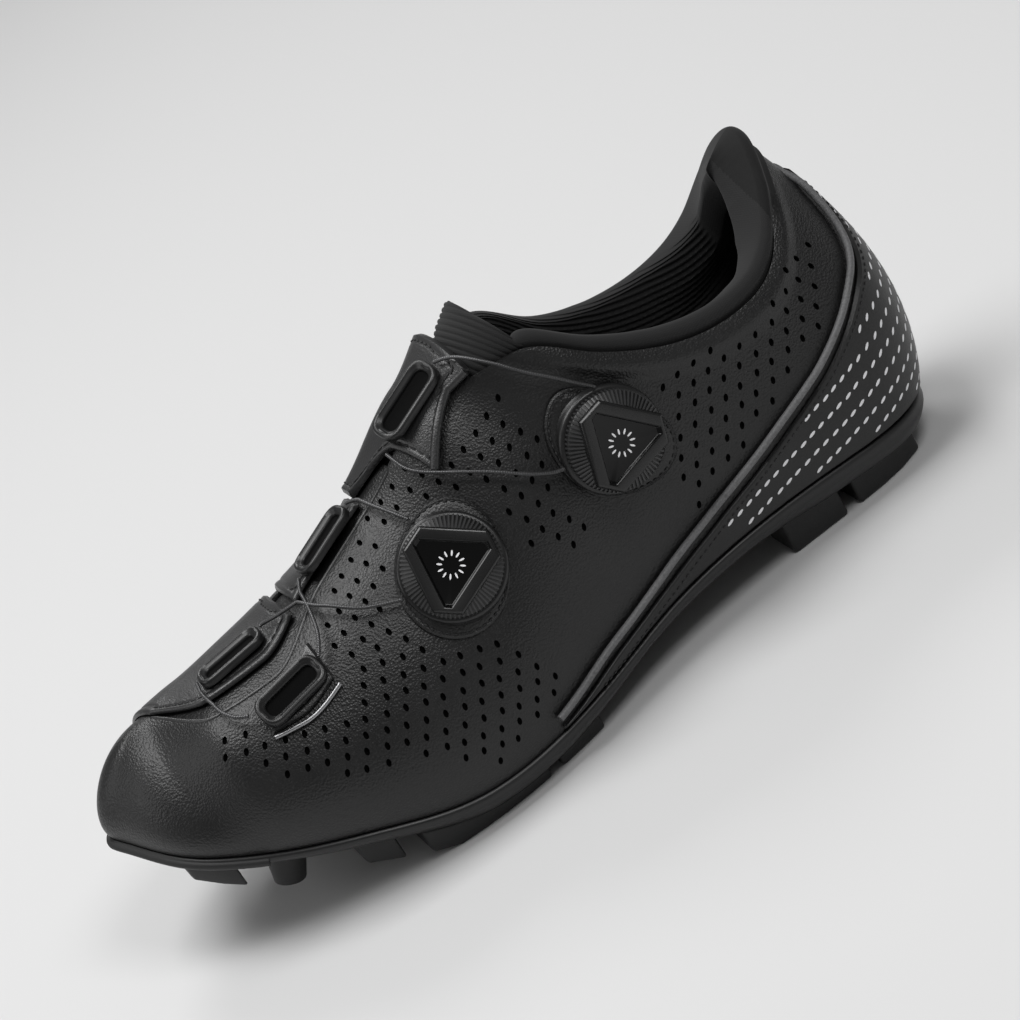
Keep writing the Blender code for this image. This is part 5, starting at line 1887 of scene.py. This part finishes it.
@dataclass
class Lacing:
    """Wire guides, wires and the outer tab's bar."""

    guide_rim: float = 0.0028
    guide_profile: tuple[Pair, ...] = (
        (0.0, 0.0), (0.0, 0.62), (0.10, 0.90), (0.26, 1.0), (0.46, 0.98), (0.58, 0.80), (0.80, 0.66),
        (0.94, 0.52), (1.0, 0.34), (1.0, 0.0))
    guide_square: float = 0.72
    ear_width: float = 0.0042
    ear_in: float = 0.0012
    ear_round: float = 0.0004
    shaded_cloth_inset: float = 0.7
    shaded_cloth_levels: Pair = (-0.0005, 0.0003)
    wire_points: int = 90
    wire_lay: float = 900.0
    bar_knots: tuple[Pair, ...] = ((4.62, 0.698), (5.10, 0.690), (5.58, 0.684))
    bar_radius: float = 0.0007
    bar_lift: float = 0.0008

    def build(self) -> None:
        """Makes guides, wires and bar."""
        for spot in GUIDES:
            self.guide(spot)
        for name, knots in WIRES.items():
            route = smooth_route(knots, self.wire_points)
            points = SKIN.point(route[:, 0], route[:, 1], route[:, 2] * MM)
            piece = path_tube(name + "_steel", points, WIRE_RADIUS, 12, self.wire_lay)
            dress(piece, WIRE, [name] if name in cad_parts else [], 60.0)
        self.bar()

    def guide(self, spot: GuideSpot) -> None:
        """A flat loop with a raised rim, a slot and an ear at each end."""
        lift = LAYER_GAP + spot.wall_below + GUIDE_GAP
        place = SKIN.frame_at(spot.row, spot.across, lift, spot.turn)
        straight = spot.length / 2 - spot.width / 2
        angle = turns(96, 0.5)
        c, s = np.cos(angle), np.sin(angle)
        rings = []
        for inset, height in self.guide_profile:
            half = spot.width / 2 - inset * self.guide_rim
            x = np.copysign(np.abs(c) ** self.guide_square, c) * half + np.copysign(straight, c)
            y = np.copysign(np.abs(s) ** self.guide_square, s) * half
            rings.append(np.stack([x, y, np.full(96, height * GUIDE_WALL)], -1))
        piece = sheet(spot.name + "_loop", np.array([*rings, rings[0]]).transpose(1, 0, 2), wrap=True)
        self.add_ears(piece, spot.length)
        piece.data.transform(place)
        dress(piece, PLASTIC, [spot.name], 45.0)
        # The cloth floor inside the loop, a real part, is darkened with the very dark hollow finish: painted
        # shade in the loop's hollow.
        inner = spot.width / 2 - self.shaded_cloth_inset * self.guide_rim
        angle = turns(48, 0.5)
        x = inner * np.cos(angle) + np.copysign(straight, np.cos(angle))
        cloth = prism(spot.name + "_cloth", np.stack([x, inner * np.sin(angle)], -1), *self.shaded_cloth_levels)
        cloth.data.transform(place)
        dress(cloth, HOLLOW_SHADE)

    def add_ears(self, piece: Object, length: float) -> None:
        """Adds the small ferrules where the wire enters a loop of some length."""
        radius = GUIDE_WALL * 0.5
        upright = Matrix.Rotation(math.radians(90), 4, "X")
        with editing(piece) as bm:
            for side in (-1, 1):
                spot = Matrix.Translation((side * (length / 2 - self.ear_in), 0, GUIDE_WALL * 0.42))
                made = bmesh.ops.create_cone(bm, cap_ends=True, segments=16, radius1=radius, radius2=radius,
                                             depth=self.ear_width, matrix=spot @ upright)
                edges = dict.fromkeys(edge for vertex in made["verts"] for edge in vertex.link_edges
                                      if len(edge.link_faces) == 2 and edge.calc_face_angle() > 1.0)
                bmesh.ops.bevel(bm, geom=list(edges), offset=self.ear_round, segments=2, affect="EDGES",
                                profile=0.5)

    def bar(self) -> None:
        """The bright bar along the outer tab's edge."""
        route = smooth_route(self.bar_knots, 40)
        points = SKIN.point(route[:, 0], route[:, 1], LAYER_GAP + self.bar_lift)
        dress(path_tube("tab_bar_steel", points, self.bar_radius, 14), STEEL, ["tab_bar"])


class KnobRib(NamedTuple):
    """A band of ribs on the knob: their ring, size and slant (tilt up over reach out)."""

    face: str
    radius: float
    height: float
    length: float
    tilt: float
    reach: float


KNOB_RIBS = (
    KnobRib("cone", 0.0124, 0.0034, 0.0048, -0.62, 1.0), KnobRib("side", 0.0144, 0.0011, 0.0020, 1.0, 0.0))


@dataclass
class Dial:
    """One lace dial: stitched pad, housing, ribbed knob and clipped triangular cap."""

    tools: Toolbox
    spot: DialSpot
    pad_lip: float = 0.0011
    pad_top: float = 0.0018
    housing_profile: tuple[Pair, ...] = (
        (0.0160, 0.0020), (0.0158, 0.0030), (0.0154, 0.0035), (0.0150, 0.0037), (0.0120, 0.0037))
    knob_profile: tuple[Pair, ...] = (
        (0.0, 0.0), (0.0140, 0.0), (0.0144, 0.0004), (0.0144, 0.0018), (0.0141, 0.0022),
        (0.0104, 0.0046), (0.0094, 0.0050), (0.0, 0.0051))
    knurls: int = 72
    knurl_width: float = 0.00052
    cap_levels: tuple[tuple[float, float, int], ...] = (
        (1.0, 0.0, 0), (1.0, 0.55, 0), (0.965, 0.92, 0), (0.93, 1.0, 0), (0.86, 1.0, 1),
        (0.83, 0.90, 1), (0.78, 0.55, 1), (0.0, 0.55, 1))
    cap_radius: float = 0.0142
    cap_clip: float = 17.0
    cap_sunk_clip: float = 0.30
    cap_height: float = 0.0021
    tick_count: int = 12
    tick_ring: float = 0.0033
    tick_size: Triple = (0.0017, 0.00055, 0.00016)

    def build(self) -> None:
        """Makes the dial's pieces."""
        self.pad()
        self.housing()
        self.seam()
        place = SKIN.frame_at(self.spot.row, self.spot.across, 0.0)
        knob = place @ Matrix.Translation((0, 0, DIAL_BASE_HEIGHT + SEAM_GAP))
        self.knob(knob)
        turn = Matrix.Rotation(math.radians(self.spot.turn), 4, "Z")
        top = knob @ Matrix.Translation((0, 0, KNOB_HEIGHT)) @ turn
        self.cap(top)
        self.ticks(top)

    def name(self, piece: str) -> str:
        """The full name of one of the dial's pieces."""
        return f"dial_{self.spot.name}_{piece}"

    def on_skin(self, radius: float, lift: float, count: int = 96) -> Array:
        """A circle laid on the skin round the dial.

        Args:
            radius: its radius.
            lift: its height above the skin.
            count: points round it.

        Returns:
            The points.
        """
        row, across = self.spot.row, self.spot.across
        reach_row = np.linalg.norm(SKIN.flat(row + 0.1, across) - SKIN.flat(row - 0.1, across)) / 0.2
        reach_share = np.linalg.norm(SKIN.flat(row, across + 0.05) - SKIN.flat(row, across - 0.05)) / 0.1
        angle = turns(count)
        return SKIN.point(row + radius * np.cos(angle) / reach_row,
                          across + radius * np.sin(angle) / reach_share, lift)

    def pad(self) -> None:
        """The leather pad that follows the upper."""
        flange = DIAL_RADIUS * DIAL_FLANGE
        middle = DIAL_RADIUS * 0.9
        levels = ((middle, LAYER_GAP), (flange, LAYER_GAP), (flange, LAYER_GAP + 0.0005),
                  (flange - 0.0006, 0.0014), (flange - self.pad_lip, 0.0013),
                  (flange - 0.0020, self.pad_top), (middle, self.pad_top))
        dress(turned(self.name("pad"), [self.on_skin(*level) for level in levels]), LEATHER)

    def seam(self) -> None:
        """The stitches round the pad."""
        line = self.on_skin(DIAL_RADIUS * DIAL_FLANGE - self.pad_lip, 0.0015, 140)
        self.tools.stitch(self.name("seam"), [np.concatenate([line, line[:1]])], 0.0022, 0.0014, 0.00028)

    def housing(self) -> None:
        """The housing, whose foot follows the leather."""
        place = SKIN.frame_at(self.spot.row, self.spot.across, 0.0)
        foot = self.housing_profile[0][0]
        rings = [self.on_skin(DIAL_RADIUS * 0.5, LAYER_GAP), self.on_skin(foot, LAYER_GAP)]
        for radius, height in self.housing_profile:
            rings.append(np.array([place @ Vector((radius * math.cos(a), radius * math.sin(a), height))
                                   for a in turns(96)]))
        dress(turned(self.name("housing"), rings), PLASTIC, [f"dial_base_{self.spot.name}"], 40.0)

    def knob(self, place: Matrix) -> None:
        """The turned knob, its cone and side covered with ribs."""
        grid = np.array([[(r * math.cos(a), r * math.sin(a), z) for r, z in self.knob_profile]
                         for a in turns(96)])
        piece = sheet(self.name("knob"), grid, wrap=True)
        piece.data.transform(place)
        dress(piece, KNOB, [f"dial_knob_{self.spot.name}"], 30.0)
        # The ribs get the lighter copy of the knob's plastic: painted highlight on the ribs.
        for rib in KNOB_RIBS:
            ribs = new_object(self.name(rib.face + "_ribs"), np.zeros((1, 3)), [])
            self.tools.knurls.run(ribs, {
                "Count": self.knurls, "Radius": rib.radius, "Length": rib.length, "Width": self.knurl_width,
                "Tilt": rib.tilt, "Reach": rib.reach, "Material": KNURL_HIGHLIGHT.material()})
            ribs.data.transform(place @ Matrix.Translation((0, 0, rib.height)))
            dress(ribs, KNURL_HIGHLIGHT)

    def cap(self, place: Matrix) -> None:
        """A three-sided plate with clipped corners and a sunk triangle."""
        rings = []
        for scale, height, sunk in self.cap_levels:
            clip = self.cap_clip * (self.cap_sunk_clip if sunk else 1.0)
            ring = []
            for corner in range(3):
                for swing in (clip * k / 2 for k in range(-2, 3)):
                    reach = self.cap_radius * scale * math.cos(math.radians(clip))
                    reach /= math.cos(math.radians(swing))
                    turn = math.radians(120 * corner + swing)
                    ring.append((reach * math.cos(turn), reach * math.sin(turn), height * self.cap_height))
            rings.append(ring)
        grid = np.array(rings).transpose(1, 0, 2)
        levels = len(rings)
        piece = new_object(self.name("cap"), grid.reshape(-1, 3), grid_faces(15, levels, wrap=True))
        piece.data.materials.append(CAP.material())
        piece.data.materials.append(GLOSS.material())
        for number, face in enumerate(piece.data.polygons):
            face.material_index = int(number % (levels - 1) >= 4)
        with editing(piece) as bm:
            bmesh.ops.holes_fill(bm, edges=bm.edges)
        weld(piece)
        soften(piece, 0.00022, 2, 22.0)
        bake_modifiers(piece)
        piece.data.transform(place)
        dress(piece, CAP, [f"dial_cap_{self.spot.name}"], 13.0)

    def ticks(self, place: Matrix) -> None:
        """A generic ring of short pale ticks on the sunk triangle."""
        height = self.cap_height * self.cap_levels[-1][1] + 0.00008
        spin = place.to_3x3()
        ways = [Vector((math.cos(a), math.sin(a), 0)) for a in turns(self.tick_count)]
        points = np.array([place @ (way * self.tick_ring + Vector((0, 0, height))) for way in ways])
        out = np.array([spin @ Vector((0, 0, 1)) for _ in ways])
        along = np.array([spin @ way for way in ways])
        piece = self.tools.inlay(self.name("ticks"), points, out, along, self.tick_size, TICKS, 12)
        dress(piece, TICKS)


# Studio


class Lamp(NamedTuple):
    """A square soft light: where it stands, its side and its watts."""

    name: str
    place: Triple
    size: float
    power: float


@dataclass
class Studio:
    """Floor, lights and the photograph's camera."""

    azimuth: float = -12.0
    elevation: float = 26.7176
    roll: float = 32.0427
    distance: float = 1.143
    lens: float = 114.23
    target: Triple = (0.04284, 0.0, 0.03006)
    middle: Triple = (0.0086, 0.0040, 0.0542)
    zoom: float = 1.2
    floor_grey: float = 0.67
    world_grey: float = 0.80
    world_strength: float = 0.21
    aim: Triple = (0.0, 0.0, 0.05)
    lamps: tuple[Lamp, ...] = (
        Lamp("top", (-0.30, 0.05, 1.30), 0.70, 11.5), Lamp("back", (0.10, 0.95, 0.95), 0.45, 4.5),
        Lamp("collar", (0.30, -0.70, 1.05), 0.40, 4.5), Lamp("toe", (-1.10, 0.20, 0.60), 0.60, 2.0))

    def build(self) -> None:
        """Makes the studio."""
        self.camera()
        self.floor()
        self.world()
        for lamp in self.lamps:
            self.light(lamp)

    def camera(self) -> None:
        """The camera at the photograph's angle to the shoe, rolled as the shoe leans there."""
        a, e, r = (math.radians(value) for value in (self.azimuth, self.elevation, self.roll))
        back = Vector((math.sin(a) * math.cos(e), -math.cos(a) * math.cos(e), math.sin(e)))
        level = Vector((math.cos(a), math.sin(a), 0.0))
        above = back.cross(level)
        right = level * math.cos(r) - above * math.sin(r)
        data = bpy.data.cameras.new("camera")
        data.lens = self.lens * self.zoom
        data.sensor_width = 36.0
        data.sensor_fit = "HORIZONTAL"
        camera = placed("camera", data)
        eye = Vector(self.target) + Vector(SKIN.origin) + back * self.distance
        back = (eye - Vector(self.middle)).normalized()
        right = (right - back * right.dot(back)).normalized()
        matrix = Matrix((right, back.cross(right), back)).transposed().to_4x4()
        matrix.translation = eye
        camera.matrix_world = matrix
        bpy.context.scene.camera = camera

    def floor(self) -> None:
        """A wide pale floor."""
        reach = 6.0
        corners = np.array([(-reach, -reach, 0), (reach, -reach, 0), (reach, reach, 0), (-reach, reach, 0)])
        floor = new_object("floor", corners, [(0, 1, 2, 3)])
        material = bpy.data.materials.new("floor")
        material.use_nodes = True
        shader = material.node_tree.nodes["Principled BSDF"]
        shader.inputs["Base Color"].default_value = (self.floor_grey,) * 3 + (1.0,)
        shader.inputs["Roughness"].default_value = 0.9
        shader.inputs["Specular IOR Level"].default_value = 0.1
        floor.data.materials.append(material)

    def world(self) -> None:
        """Even soft light from all round."""
        world = bpy.data.worlds.new("studio")
        world.use_nodes = True
        background = world.node_tree.nodes["Background"]
        background.inputs["Color"].default_value = (self.world_grey,) * 3 + (1.0,)
        background.inputs["Strength"].default_value = self.world_strength
        bpy.context.scene.world = world
        bpy.context.scene.view_settings.view_transform = "Standard"

    def light(self, lamp: Lamp) -> None:
        """One light, aimed at the shoe."""
        data = bpy.data.lights.new(lamp.name, "AREA")
        data.size = lamp.size
        data.energy = lamp.power
        light = placed(lamp.name, data)
        light.location = lamp.place
        light.rotation_euler = (Vector(self.aim) - Vector(lamp.place)).to_track_quat("-Z", "Y").to_euler()


def dress_insole() -> None:
    """The footbed keeps its CAD body and gets its cloth."""
    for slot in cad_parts["insole"].material_slots:
        slot.material = FOOTBED.material()
    LOG.info("insole: cloth")


def main() -> None:
    """Builds the studio and every sub-assembly in order."""
    logging.basicConfig(level=logging.INFO, format="%(message)s")
    Studio().build()
    tools = Toolbox()
    Upper(tools).build()
    Layers(tools).build()
    Tongue().build()
    Collar().build()
    HeelCounter(tools).build()
    Sole().build()
    Lacing().build()
    for spot in DIALS:
        Dial(tools, spot).build()
    dress_insole()


if __name__ == "__main__":
    main()
